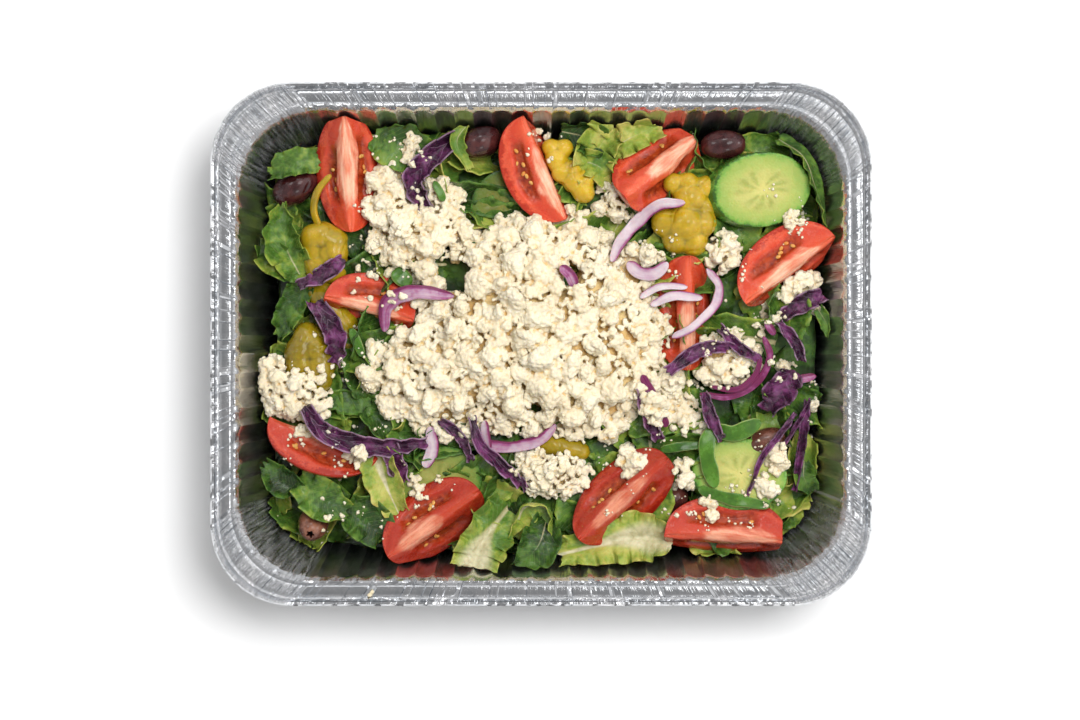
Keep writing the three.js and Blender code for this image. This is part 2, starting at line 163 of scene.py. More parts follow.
def copy_of(node: str) -> BMesh:
    """A merged copy of a CAD node's mesh.

    Args:
        node: The node's name.

    Returns:
        The copy, in millimetres.
    """
    shape = bmesh.new()
    shape.from_mesh(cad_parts[node].data)
    bmesh.ops.scale(shape, vec=Vector((1 / MM,) * 3), verts=shape.verts)
    bmesh.ops.remove_doubles(shape, verts=shape.verts, dist=0.02)
    bmesh.ops.recalc_face_normals(shape, faces=shape.faces)
    return shape


def remeshed(shape: BMesh, voxel: float) -> BMesh:
    """One closed skin over all of a shape's overlapping solids.

    Args:
        shape: Closed solids, in millimetres. It is used up.
        voxel: The size of the new faces, in millimetres.

    Returns:
        The joined mesh, in millimetres.
    """
    mesh = mesh_of(shape, "joining")
    blank = added("joining", mesh)
    modifier = blank.modifiers.new("skin", "REMESH")
    modifier.mode = "VOXEL"
    modifier.voxel_size = voxel
    graph = bpy.context.evaluated_depsgraph_get()
    joined = bmesh.new()
    joined.from_mesh(blank.evaluated_get(graph).to_mesh())
    bpy.data.objects.remove(blank)
    bpy.data.meshes.remove(mesh)
    return joined


def spun(profile: Sequence[tuple[float, float]], steps: int, names: Sequence[str]) -> BMesh:
    """A closed solid of revolution about X.

    Args:
        profile: Points of place along X and reach from it, from pole to pole.
        steps: How many columns go round.
        names: Numbers to keep on its points: the first is the place along the profile,
            from 0 to 1.

    Returns:
        The solid, with its seam and poles merged.
    """
    shape = bmesh.new()
    kept = layers(shape, *names)
    line = [shape.verts.new((x, reach, 0)) for x, reach in profile]
    for index, vert in enumerate(line):
        vert[kept[0]] = index / (len(line) - 1)
    edges = [shape.edges.new(pair) for pair in zip(line, line[1:])]
    bmesh.ops.spin(
        shape, geom=line + edges, cent=(0, 0, 0), axis=(1, 0, 0), dvec=(0, 0, 0),
        angle=math.tau, steps=steps, use_merge=True, use_duplicate=False,
    )
    bmesh.ops.remove_doubles(shape, verts=shape.verts, dist=0.005)
    bmesh.ops.dissolve_degenerate(shape, edges=shape.edges, dist=0.001)
    bmesh.ops.recalc_face_normals(shape, faces=shape.faces)
    return shape


def push_out(shape: BMesh, rise: Callable[[BMVert], float]) -> None:
    """Move each point along its normal.

    Args:
        shape: The mesh.
        rise: How far a point goes out, in millimetres.
    """
    shape.normal_update()
    moves = [(vert, vert.normal * rise(vert)) for vert in shape.verts]
    for vert, move in moves:
        vert.co += move


def smooth(shape: BMesh, rounds: int) -> list[Vector]:
    """Smooth a mesh.

    Args:
        shape: The mesh.
        rounds: How many times.

    Returns:
        Where its points were.
    """
    before = [vert.co.copy() for vert in shape.verts]
    for _ in range(rounds):
        bmesh.ops.smooth_vert(
            shape, verts=shape.verts, factor=0.5, use_axis_x=True, use_axis_y=True, use_axis_z=True
        )
    shape.normal_update()
    return before


def next_ring(shape: BMesh, line: Sequence[BMVert]) -> list[BMVert]:
    """Grow a closed line by one ring of faces.

    Args:
        shape: The mesh.
        line: The points of its last ring, in order.

    Returns:
        The new ring's points, in the same order.
    """
    edges = [shape.edges.get((line[k - 1], line[k])) for k in range(len(line))]
    made = bmesh.ops.extrude_edge_only(shape, edges=edges)["geom"]
    fresh = {part for part in made if isinstance(part, BMVert)}
    return [
        next(edge.other_vert(vert) for edge in vert.link_edges if edge.other_vert(vert) in fresh)
        for vert in line
    ]


@dataclass(frozen=True)
class Route:
    """A smooth line through a few points, in millimetres."""

    points: tuple[Point, ...]

    def at(self, share: float) -> Vector:
        """The point that lies a share of the way along.

        Args:
            share: From 0 at the start to 1 at the end.

        Returns:
            The point, on a Catmull-Rom curve.
        """
        spans = len(self.points) - 1
        place_on = min(max(share, 0.0), 1.0) * spans
        index = min(int(place_on), spans - 1)
        local = place_on - index
        stops = [Vector(self.points[min(max(index + k, 0), spans)]) for k in (-1, 0, 1, 2)]
        if index == 0:
            stops[0] = 2 * stops[1] - stops[2]
        if index == spans - 1:
            stops[3] = 2 * stops[2] - stops[1]
        before, start, end, after = stops
        return 0.5 * (
            2 * start + (end - before) * local
            + (2 * before - 5 * start + 4 * end - after) * local**2
            + (3 * start - before - 3 * end + after) * local**3
        )

    def frame(self, share: float) -> tuple[Vector, Vector, Vector, Vector]:
        """A point of the line and its directions.

        Args:
            share: From 0 at the start to 1 at the end.

        Returns:
            The point, and the ways along the line, to its left and up from it.
        """
        step = 0.01
        along = (self.at(share + step) - self.at(share - step)).normalized()
        left = UP.cross(along).normalized()
        return self.at(share), along, left, along.cross(left)

    def length(self) -> float:
        """Its length, in millimetres."""
        stops = [self.at(k / 24) for k in range(25)]
        return sum((b - a).length for a, b in zip(stops, stops[1:]))


# ---- Shader nodes -------------------------------------------------------------------------


def tint(code: str) -> tuple[float, float, float, float]:
    """A linear colour from its hexadecimal sRGB code."""
    parts = [int(code[k : k + 2], 16) / 255 for k in (1, 3, 5)]
    return (*(v / 12.92 if v <= 0.04045 else ((v + 0.055) / 1.055) ** 2.4 for v in parts), 1.0)


class Graph:
    """Short ways to add and join the nodes of one shader tree."""

    def __init__(self, tree: NodeTree) -> None:
        """Start on a tree, which may already have nodes."""
        self.tree = tree
        self.where = self.node("ShaderNodeTexCoord").outputs["Object"]

    def node(self, kind: str, **settings: object) -> Node:
        """Add a node.

        Args:
            kind: Its type.
            settings: Its properties.

        Returns:
            The node.
        """
        node = self.tree.nodes.new(kind)
        for key, value in settings.items():
            setattr(node, key, value)
        return node

    def feed(self, socket: NodeSocket, value: Input) -> None:
        """Give an input what it reads.

        Args:
            socket: The input.
            value: The output that it is joined to, or the value that it is set to.
        """
        if isinstance(value, NodeSocket):
            self.tree.links.new(value, socket)
        else:
            socket.default_value = value

    def fed(self, node: Node, values: dict[Union[int, str], Input], output: Union[int, str] = 0) -> NodeSocket:
        """Feed a node.

        Args:
            node: The node.
            values: What its inputs get, by name or number.
            output: The name or number of the output that is wanted.

        Returns:
            That output.
        """
        for key, value in values.items():
            self.feed(node.inputs[key], value)
        return node.outputs[output]

    def math(self, operation: str, first: Input, second: Input = 0.5, third: Input = 0.5) -> NodeSocket:
        """The result of one math node."""
        return self.fed(self.node("ShaderNodeMath", operation=operation), {0: first, 1: second, 2: third})

    def add(self, first: Input, second: Input) -> NodeSocket:
        """A sum."""
        return self.math("ADD", first, second)

    def times(self, first: Input, second: Input, plus: Optional[Input] = None) -> NodeSocket:
        """A product, with something added to it where that is given.

        Args:
            first: A factor.
            second: The other factor.
            plus: What is added to the product, if anything is.

        Returns:
            The result.
        """
        if plus is None:
            return self.math("MULTIPLY", first, second)
        return self.math("MULTIPLY_ADD", first, second, plus)

    def spread(
        self, value: Input, low: Input, high: Input, start: float = 0.0, end: float = 1.0
    ) -> NodeSocket:
        """A value brought softly from low..high to start..end, and kept within those ends."""
        values = {"Value": value, "From Min": low, "From Max": high, "To Min": start, "To Max": end}
        return self.fed(self.node("ShaderNodeMapRange", interpolation_type="SMOOTHSTEP"), values, "Result")

    def blend(self, share: Input, first: Input, second: Input, kind: str = "MIX") -> NodeSocket:
        """Two colours mixed."""
        node = self.node("ShaderNodeMix", data_type="RGBA", blend_type=kind)
        return self.fed(node, {0: share, 6: first, 7: second}, 2)

    def ramp(self, value: Input, stops: Stops) -> NodeSocket:
        """A colour that runs through stops.

        Args:
            value: Where along them.
            stops: The places and colours.

        Returns:
            The colour.
        """
        node = self.node("ShaderNodeValToRGB")
        elements = node.color_ramp.elements
        while len(elements) < len(stops):
            elements.new(0.5)
        for element, (where, code) in zip(elements, stops):
            element.position = where
            element.color = tint(code)
        return self.fed(node, {0: value}, "Color")

    def noise(self, scale: Input, detail: float, vector: Optional[Input] = None) -> NodeSocket:
        """Cloudy noise from about 0.2 to 0.8, at the surface's own place or at a vector."""
        values = {"Vector": self.where if vector is None else vector, "Scale": scale, "Detail": detail}
        return self.fed(self.node("ShaderNodeTexNoise"), values, "Fac")

    def cells(self, scale: Input) -> NodeSocket:
        """The distance to the middle of the nearest cell."""
        return self.fed(self.node("ShaderNodeTexVoronoi"), {"Vector": self.where, "Scale": scale}, "Distance")

    def group(self, tree: NodeTree, **values: float) -> NodeSocket:
        """The result of a shared group that is placed here with its own values."""
        return self.fed(self.node("ShaderNodeGroup", node_tree=tree), values)


def new_group(name: str, inputs: dict[str, float], output: str) -> tuple[Graph, Node, NodeSocket]:
    """An empty node group.

    Args:
        name: The group's name.
        inputs: Its inputs and their usual values.
        output: The name of its output.

    Returns:
        The graph inside it, its input node, and the socket that its result goes to.
    """
    tree = bpy.data.node_groups.new(name, "ShaderNodeTree")
    for label, value in inputs.items():
        socket = tree.interface.new_socket(name=label, in_out="INPUT", socket_type="NodeSocketFloat")
        socket.default_value = value
    tree.interface.new_socket(name=output, in_out="OUTPUT", socket_type="NodeSocketFloat")
    graph = Graph(tree)
    return graph, graph.node("NodeGroupInput"), graph.node("NodeGroupOutput").inputs[output]


@lru_cache(maxsize=None)
def mottle() -> NodeTree:
    """The group that gives food its uneven colour: broad clouds with finer flecks in them.

    Returns:
        The group's nodes.
    """
    graph, given, result = new_group("mottle", {"Scale": 100.0, "Flecks": 0.4}, "Value")
    scale = given.outputs["Scale"]
    broad, fine = graph.noise(scale, 2.0), graph.noise(graph.times(scale, 4.7), 4.0)
    mixed = graph.times(graph.math("SUBTRACT", fine, 0.5), given.outputs["Flecks"], broad)
    graph.feed(result, graph.spread(mixed, 0.3, 0.7))
    return graph.tree


@lru_cache(maxsize=None)
def wet_film() -> NodeTree:
    """The group that makes a surface wet in patches: its roughness.

    Returns:
        The group's nodes.
    """
    graph, given, result = new_group("wet_film", {"Scale": 150.0, "Wet": 0.15, "Dry": 0.4}, "Roughness")
    pools = graph.spread(graph.noise(given.outputs["Scale"], 2.0), 0.4, 0.6)
    span = graph.math("SUBTRACT", given.outputs["Dry"], given.outputs["Wet"])
    graph.feed(result, graph.times(pools, span, given.outputs["Wet"]))
    return graph.tree


@lru_cache(maxsize=None)
def fine_bumps() -> NodeTree:
    """The group for small relief: rounded grains over soft waves, as a height.

    Returns:
        The group's nodes.
    """
    graph, given, result = new_group("fine_bumps", {"Scale": 800.0, "Waves": 0.5}, "Height")
    scale = given.outputs["Scale"]
    grains = graph.math("SUBTRACT", 1.0, graph.cells(scale))
    waves = graph.noise(graph.times(scale, 0.35), 2.0)
    graph.feed(result, graph.times(waves, given.outputs["Waves"], grains))
    return graph.tree


def grain(size: float) -> float:
    """The texture scale whose features are about a size wide, in millimetres."""
    return 1 / MM / size


class Coat(Graph):
    """The graph of one material. Its sizes are in millimetres."""

    def __init__(self, material: Material) -> None:
        """Start on a new material's nodes."""
        super().__init__(material.node_tree)
        self.shader = material.node_tree.nodes["Principled BSDF"]

    def set(self, **sockets: Input) -> None:
        """Set or join the shader's sockets, with _ for a space in a name."""
        for name, value in sockets.items():
            self.feed(self.shader.inputs[name.replace("_", " ")], value)

    def numbers(self, *names: str) -> list[NodeSocket]:
        """The named numbers of the mesh's points."""
        return [self.node("ShaderNodeAttribute", attribute_name=name).outputs["Fac"] for name in names]

    def clouds(self, size: float, detail: float) -> NodeSocket:
        """Cloudy noise whose features are about a size wide."""
        return self.noise(grain(size), detail)

    def drawn(self, across: Input, along: Input, detail: float = 3.0) -> NodeSocket:
        """Cloudy noise drawn out over two numbers of the mesh."""
        where = self.fed(self.node("ShaderNodeCombineXYZ"), {0: across, 1: along})
        return self.noise(1.0, detail, where)

    def mottled(self, size: float, flecks: float) -> NodeSocket:
        """Uneven patches of about a size, from 0 to 1."""
        return self.group(mottle(), Scale=grain(size), Flecks=flecks)

    def film(self, size: float, wet: float, dry: float) -> NodeSocket:
        """The roughness of a surface that is wet in patches of about a size."""
        return self.group(wet_film(), Scale=grain(size), Wet=wet, Dry=dry)

    def grains(self, size: float, waves: float) -> NodeSocket:
        """The height of rounded grains of about a size, over soft waves."""
        return self.group(fine_bumps(), Scale=grain(size), Waves=waves)

    def veins(self, side: Input, along: Input, count: float, slant: float, size: float, bend: float) -> NodeSocket:
        """The distance from so many slanting veins along a rib, whose bends are about a size."""
        bent = self.times(self.clouds(size, 2.0), bend, self.times(along, count))
        return self.math("PINGPONG", self.times(side, -slant, bent), 0.5)

    def bump(self, height: NodeSocket, strength: float, depth: float) -> NodeSocket:
        """A normal from a height: how much of it shows, and how deep a height of 1 is."""
        values = {"Strength": strength, "Distance": depth * MM, "Height": height}
        return self.fed(self.node("ShaderNodeBump"), values, "Normal")


# ---- Finishes -----------------------------------------------------------------------------


def soft(weight: float, scale: float, coat: float, gloss: float, **more: Input) -> dict[str, Input]:
    """The even sockets of soft wet food: how light sinks in, and its clear film."""
    film = {"Coat_Weight": coat, "Coat_Roughness": gloss}
    return {"Subsurface_Weight": weight, "Subsurface_Scale": scale, **film, **more}


class Finish:
    """A finish: the sockets that are the same all over, its colours, and how it is dressed."""

    name = ""
    even: dict[str, Input] = {}

    def material(self) -> Material:
        """The finish as a new material.

        Returns:
            The material.
        """
        material = bpy.data.materials.new(self.name)
        material.use_nodes = True
        coat = Coat(material)
        coat.set(**self.even)
        self.dress(coat)
        return material

    def dress(self, coat: Coat) -> None:
        """Join the sockets that change over the surface."""
        raise NotImplementedError


class FoilFinish(Finish):
    """Bright aluminium foil with fine creases that run across the rim and down the wall."""

    name = "foil"
    even = {}
    metal = ((0.3, "#d8dbdf"), (0.7, "#ececee"))
    top = 17.0  # how far down the foil the flange ends, in millimetres
    wall = 24.0  # how far down it is all wall
    haze = 0.22  # how much less metallic the folds of a corner are

    def dress(self, coat: Coat) -> None:
        """Crease the foil, more so in the corners of the wall, and dull those folds.

        Args:
            coat: The material's nodes.
        """
        girth, reach, bend = coat.numbers("girth", "reach", "bend")

        def streak(across: float, along: float) -> NodeSocket:
            """Lines that run down the foil, so many a millimetre each way."""
            return coat.drawn(coat.times(girth, across), coat.times(reach, along))

        wall = coat.spread(reach, self.top, self.wall)
        lines = coat.times(streak(1.5, 0.1), 0.45, streak(0.4, 0.05))
        crumple = coat.times(coat.clouds(1.3, 2.0), 0.25, coat.clouds(6.0, 3.0))
        height = coat.times(lines, coat.times(wall, 0.5, 0.7), crumple)
        pleats = coat.times(streak(0.8, 0.07), 5.0, coat.times(streak(1.6, 0.15), 2.5))
        height = coat.times(coat.times(bend, pleats, height), coat.times(wall, 0.65, 0.35))
        dull = coat.times(coat.times(wall, bend), coat.spread(streak(0.9, 0.05), 0.4, 0.62))
        cloudy = coat.clouds(12.0, 4.0)
        rough = coat.spread(cloudy, 0.3, 0.7, 0.07, 0.15)
        coat.set(
            Base_Color=coat.ramp(cloudy, self.metal),
            Roughness=coat.times(wall, coat.times(bend, -0.06, 0.22), rough),
            Metallic=coat.times(dull, -self.haze, 1.0),
            Normal=coat.bump(height, 0.7, 0.8),
        )


class LeafFinish(Finish):
    """Romaine: a waxy blade from dark to yellow green, with a pale rib and branching veins."""

    name = "romaine_leaf"
    even = soft(0.12, 0.002, 0.25, 0.12, Specular_IOR_Level=0.5)
    blade = ((0.0, "#1a2b10"), (0.22, "#2f4c1a"), (0.45, "#54752b"), (0.7, "#8c9a3c"), (1.0, "#bdb162"))
    pale = ((0.0, "#a39c72"), (1.0, "#c6be9c"))
    vein = "#a9b873"

    def dress(self, coat: Coat) -> None:
        """Colour the blade by its tone, then lay the veins and the rib over it.

        Args:
            coat: The material's nodes.
        """
        across, along, tone, rib = coat.numbers("across", "along", "tone", "rib")
        side = coat.math("ABSOLUTE", across)
        patches = coat.mottled(11.0, 0.5)
        shade = coat.add(tone, coat.times(patches, 0.34, -0.17))
        shade = coat.add(shade, coat.times(coat.spread(side, 0.75, 1.0), 0.12))
        lines = coat.veins(side, along, 11.0, 3.2, 9.0, 0.9)
        veins = coat.times(coat.spread(lines, 0.07, 0.0), coat.spread(side, 0.98, 0.5))
        net = coat.spread(coat.cells(grain(3.4)), 0.3, 0.75)
        width = coat.times(rib, 0.4, 0.02)
        middle = coat.spread(side, width, coat.times(width, 0.35))
        middle = coat.times(middle, coat.spread(rib, 0.0, 0.15))
        veined = coat.blend(coat.times(veins, 0.24), coat.ramp(shade, self.blade), tint(self.vein))
        height = coat.add(coat.times(net, 0.5), coat.times(veins, -0.6))
        coat.set(
            Base_Color=coat.blend(middle, veined, coat.ramp(patches, self.pale)),
            Roughness=coat.film(7.0, 0.18, 0.42),
            Normal=coat.bump(height, 0.5, 0.6),
        )


class TomatoFleshFinish(Finish):
    """Cut tomato: a pale core, wet seed gel and red flesh."""

    name = "tomato_flesh"
    even = soft(0.25, 0.003, 0.4, 0.08)
    flesh = (
        (0.05, "#d4603f"), (0.35, "#c9492c"), (0.7, "#c03d25"), (0.88, "#d25638"), (1.0, "#a92c17"),
    )
    pale = ((0.3, "#d17d5c"), (0.65, "#efb99b"))
    jelly = ((0.3, "#6b1c0b"), (0.7, "#ab441c"))
    ripe_flesh = "#c07a6a"  # what a wedge's flesh is multiplied by, as painted shade
    ripe_core = "#dcb0a0"  # what its core is multiplied by, as painted shade

    def dress(self, coat: Coat) -> None:
        """Feather the pale core into the flesh, and fill the pockets with gel.

        Args:
            coat: The material's nodes.
        """
        span, depth, gel, core, ripe = coat.numbers("span", "depth", "gel", "core", "ripe")
        strands = coat.drawn(coat.times(depth, 9.0), coat.times(span, 2.0), 4.0)
        feather = coat.drawn(coat.times(span, 9.0, coat.times(depth, 6.0)), coat.times(depth, 2.0))
        ragged = coat.times(coat.math("SUBTRACT", feather, 0.5), 1.1, core)
        ragged = coat.times(coat.spread(ragged, 0.1, 1.05), coat.spread(strands, 0.25, 0.6, 0.4, 1.0))
        flesh = coat.ramp(coat.times(coat.mottled(5.0, 0.7), 0.16, depth), self.flesh)
        # painted shade: darker flesh and core on the wedges where less light falls, most at the front
        flesh = coat.blend(ripe, flesh, tint(self.ripe_flesh), "MULTIPLY")
        pale = coat.blend(ripe, coat.ramp(strands, self.pale), tint(self.ripe_core), "MULTIPLY")
        jelly = coat.ramp(coat.clouds(2.5, 3.0), self.jelly)
        coat.set(
            Base_Color=coat.blend(coat.times(gel, 0.9), coat.blend(ragged, flesh, pale), jelly),
            Roughness=coat.film(5.0, 0.1, 0.32),
            Normal=coat.bump(coat.add(coat.grains(1.1, 1.5), strands), 0.3, 0.3),
        )


class TomatoSkinFinish(Finish):
    """Taut glossy tomato skin."""

    name = "tomato_skin"
    even = soft(0.1, 0.002, 0.5, 0.07)
    skin = ((0.0, "#9c2712"), (0.6, "#b2341b"), (1.0, "#c34a28"))
    ripe_skin = "#c07a6a"  # what a wedge's skin is multiplied by, as painted shade

    def dress(self, coat: Coat) -> None:
        """Mottle the skin, and darken it by the wedge's painted shade.

        Args:
            coat: The material's nodes.
        """
        (ripe,) = coat.numbers("ripe")
        flecks = coat.mottled(14.0, 0.35)
        coat.set(
            Base_Color=coat.blend(ripe, coat.ramp(flecks, self.skin), tint(self.ripe_skin), "MULTIPLY"),
            Roughness=coat.spread(flecks, 0.0, 1.0, 0.2, 0.34),
            Normal=coat.bump(coat.clouds(9.0, 3.0), 0.25, 0.6),
        )


class CucumberFinish(Finish):
    """A cut cucumber: seed middle, pale flesh that greens towards a dark skin."""

    name = "cucumber_slice"
    even = soft(0.3, 0.003, 0.5, 0.08)
    flesh = (
        (0.0, "#c6be70"), (0.5, "#b6b467"), (0.62, "#a7b05c"), (0.86, "#8fa650"), (0.94, "#6f9a3d"),
        (0.98, "#4c7a28"), (1.0, "#34591a"),
    )
    gel = ((0.3, "#7b8838"), (0.7, "#9fa654"))
    shadow = "#86904a"  # what a dark slice is multiplied by

    def dress(self, coat: Coat) -> None:
        """Ring the flesh from the middle to the skin, and wet the seed lobes.

        Args:
            coat: The material's nodes.
        """
        reach, cell, shade = coat.numbers("reach", "cell", "shade")
        flecks = coat.math("SUBTRACT", coat.mottled(5.0, 0.6), 0.5)
        flesh = coat.ramp(coat.times(flecks, 0.08, reach), self.flesh)
        cut = coat.blend(coat.times(cell, 0.75), flesh, coat.ramp(coat.clouds(2.5, 3.0), self.gel))
        coat.set(
            Base_Color=coat.blend(shade, cut, tint(self.shadow), "MULTIPLY"),
            Roughness=coat.film(6.0, 0.16, 0.36),
            Normal=coat.bump(coat.grains(1.4, 1.0), 0.22, 0.3),
        )


class OliveFinish(Finish):
    """A brined olive: brown purple skin with paler bruises."""

    name = "olive_skin"
    even = {"Coat_Weight": 0.8, "Coat_Roughness": 0.06}
    dark = ((0.0, "#2b1011"), (0.6, "#3d1819"), (1.0, "#4d2421"))
    brown = ((0.0, "#5c3426"), (1.0, "#8e5c46"))
    # painted shade in the pit hole
    pit = "#120709"

    def dress(self, coat: Coat) -> None:
        """Run the skin from purple to brown with the tone, and darken the pit hole.

        Args:
            coat: The material's nodes.
        """
        tone, pit = coat.numbers("tone", "pit")
        flecks = coat.mottled(8.0, 0.4)
        skin = coat.blend(tone, coat.ramp(flecks, self.dark), coat.ramp(flecks, self.brown))
        coat.set(
            Base_Color=coat.blend(pit, skin, tint(self.pit)),
            Roughness=coat.spread(flecks, 0.0, 1.0, 0.16, 0.34),
            Normal=coat.bump(coat.clouds(4.0, 2.0), 0.2, 0.3),
        )


class PickledPepperFinish(Finish):
    """A pickled pepper: translucent olive gold skin with shade painted into its folds."""

    name = "pickled_pepper_skin"
    even = soft(0.25, 0.004, 0.7, 0.06)
    skin = ((0.0, "#5a4a0a"), (0.35, "#8f7a12"), (0.7, "#c09c1f"), (1.0, "#d2b63c"))

    def dress(self, coat: Coat) -> None:
        """Colour the skin by its tone, and darken its folds as painted shade.

        Args:
            coat: The material's nodes.
        """
        tone, fold = coat.numbers("tone", "fold")
        flecks = coat.mottled(9.0, 0.35)
        shade = coat.add(coat.times(flecks, 0.2, -0.12), tone)
        coat.set(
            # the folds are darkened as painted shade
            Base_Color=coat.ramp(coat.times(fold, -0.5, shade), self.skin),
            Roughness=coat.spread(flecks, 0.0, 1.0, 0.14, 0.28),
            Normal=coat.bump(coat.clouds(5.0, 3.0), 0.25, 0.5),
        )


class OnionFinish(Finish):
    """Red onion: translucent white flesh with a magenta skin edge and fine lines."""

    name = "red_onion_slice"
    even = soft(0.3, 0.003, 0.3, 0.12)
    flesh = ((0.3, "#cdc1c2"), (0.6, "#b49ba8"), (0.86, "#8f4675"), (1.0, "#6a204a"))

    def dress(self, coat: Coat) -> None:
        """Colour the slice towards its outer side, with lines along it.

        Args:
            coat: The material's nodes.
        """
        side, along, tone = coat.numbers("side", "along", "tone")
        lines = coat.drawn(coat.times(side, 4.0), coat.times(along, 0.35))
        outer = coat.math("POWER", coat.math("MAXIMUM", side, 0.0), 1.6)
        edge = coat.times(lines, 0.5, coat.times(outer, 0.6, tone))
        edge = coat.times(coat.mottled(9.0, 0.4), 0.2, edge)
        coat.set(
            Base_Color=coat.ramp(edge, self.flesh),
            Roughness=coat.spread(lines, 0.3, 0.7, 0.2, 0.4),
            Normal=coat.bump(lines, 0.3, 0.5),
        )


class CabbageFinish(Finish):
    """Red cabbage: dark purple shreds with pale veins and cut edges."""

    name = "red_cabbage_shred"
    even = soft(0.1, 0.002, 0.35, 0.12)
    dark = ((0.0, "#2a1224"), (0.6, "#4b2140"), (1.0, "#6d3561"))
    pale = "#b396ad"

    def dress(self, coat: Coat) -> None:
        """Lay pale veins and edges over the purple.

        Args:
            coat: The material's nodes.
        """
        across, along, tone, rib = coat.numbers("across", "along", "tone", "rib")
        side = coat.math("ABSOLUTE", across)
        veins = coat.spread(coat.veins(side, along, 5.0, 1.6, 6.0, 1.2), 0.1, 0.0)
        edge = coat.times(coat.spread(side, 0.84, 1.0), tone)
        pale = coat.times(coat.math("MAXIMUM", coat.times(veins, rib), edge), 0.7)
        patches = coat.mottled(8.0, 0.5)
        coat.set(
            Base_Color=coat.blend(pale, coat.ramp(patches, self.dark), tint(self.pale)),
            Roughness=coat.spread(patches, 0.0, 1.0, 0.2, 0.42),
            Normal=coat.bump(coat.add(veins, patches), 0.4, 0.5),
        )


class GreenPepperFinish(Finish):
    """Green pepper: glossy green skin with pale wet cut edges."""

    name = "green_pepper_strip"
    even = soft(0.15, 0.002, 0.6, 0.06)
    skin = ((0.0, "#2b4f13"), (0.6, "#507b22"), (1.0, "#829736"))
    cut = "#b6c57a"

    def dress(self, coat: Coat) -> None:
        """Shade the skin by its tone, and pale the cut edges.

        Args:
            coat: The material's nodes.
        """
        side, tone = coat.numbers("side", "tone")
        flecks = coat.mottled(8.0, 0.4)
        skin = coat.ramp(coat.times(flecks, 0.4, tone), self.skin)
        cut = coat.times(coat.spread(coat.math("ABSOLUTE", side), 0.8, 1.0), 0.6)
        coat.set(
            Base_Color=coat.blend(cut, skin, tint(self.cut)),
            Roughness=coat.spread(flecks, 0.0, 1.0, 0.14, 0.3),
            Normal=coat.bump(coat.clouds(4.0, 3.0), 0.2, 0.5),
        )


class CheeseFinish(Finish):
    """Crumbled cheese: matt creamy curd, with golden shade painted in its hollows."""

    name = "cheese_curd"
    even = {
        "Subsurface_Weight": 0.3, "Subsurface_Scale": 0.002, "Subsurface_Radius": (1.0, 0.75, 0.4),
        "Specular_IOR_Level": 0.25,
    }
    cream = ((0.0, "#dacdb0"), (1.0, "#e3d9c1"))
    # the golden shade painted into the hollows
    gold = ((0.0, "#d2ad70"), (1.0, "#dcc28c"))

    def dress(self, coat: Coat) -> None:
        """Run from cream to the painted golden shade with the hollows.

        Args:
            coat: The material's nodes.
        """
        (hollow,) = coat.numbers("hollow")
        flecks = coat.mottled(12.0, 0.3)
        cream, gold = coat.ramp(flecks, self.cream), coat.ramp(flecks, self.gold)
        coat.set(
            Base_Color=coat.blend(coat.spread(hollow, 0.5, 1.0), cream, gold),
            Roughness=coat.spread(flecks, 0.0, 1.0, 0.5, 0.75),
            Normal=coat.bump(coat.grains(0.8, 1.2), 0.5, 0.3),
        )


class SeedFinish(Finish):
    """Seeds: straw coloured under a wet film."""

    name = "seed"
    even = soft(0.3, 0.002, 0.3, 0.15)
    straw = ((0.1, "#c67a34"), (0.6, "#d6a65c"), (1.0, "#c6c987"))

    def dress(self, coat: Coat) -> None:
        """Run from orange to pale green with the tone.

        Args:
            coat: The material's nodes.
        """
        (tone,) = coat.numbers("tone")
        flecks = coat.clouds(1.5, 2.0)
        coat.set(
            Base_Color=coat.ramp(coat.times(flecks, 0.4, tone), self.straw),
            Roughness=coat.spread(flecks, 0.3, 0.7, 0.12, 0.25),
        )


class FloorFinish(Finish):
    """A plain pale floor."""

    name = "floor"
    even = {"Specular_IOR_Level": 0.1, "Roughness": 0.9}
    pale = ((0.3, "#efefef"), (0.7, "#f1f1f1"))
    scale = 3.0

    def dress(self, coat: Coat) -> None:
        """Vary the floor a little.

        Args:
            coat: The material's nodes.
        """
        coat.set(Base_Color=coat.ramp(coat.noise(self.scale, 2.0), self.pale))


# ---- Bookkeeping --------------------------------------------------------------------------


class Slot(Enum):
    """The record's material slots."""

    FOIL = "foil"
    ROMAINE = "romaine"
    TOMATO = "tomato"
    CUCUMBER = "cucumber"
    OLIVE = "olive"
    PICKLED_PEPPER = "pickled_pepper"
    RED_ONION = "red_onion"
    RED_CABBAGE = "red_cabbage"
    GREEN_PEPPER = "green_pepper"
    CHEESE = "cheese"


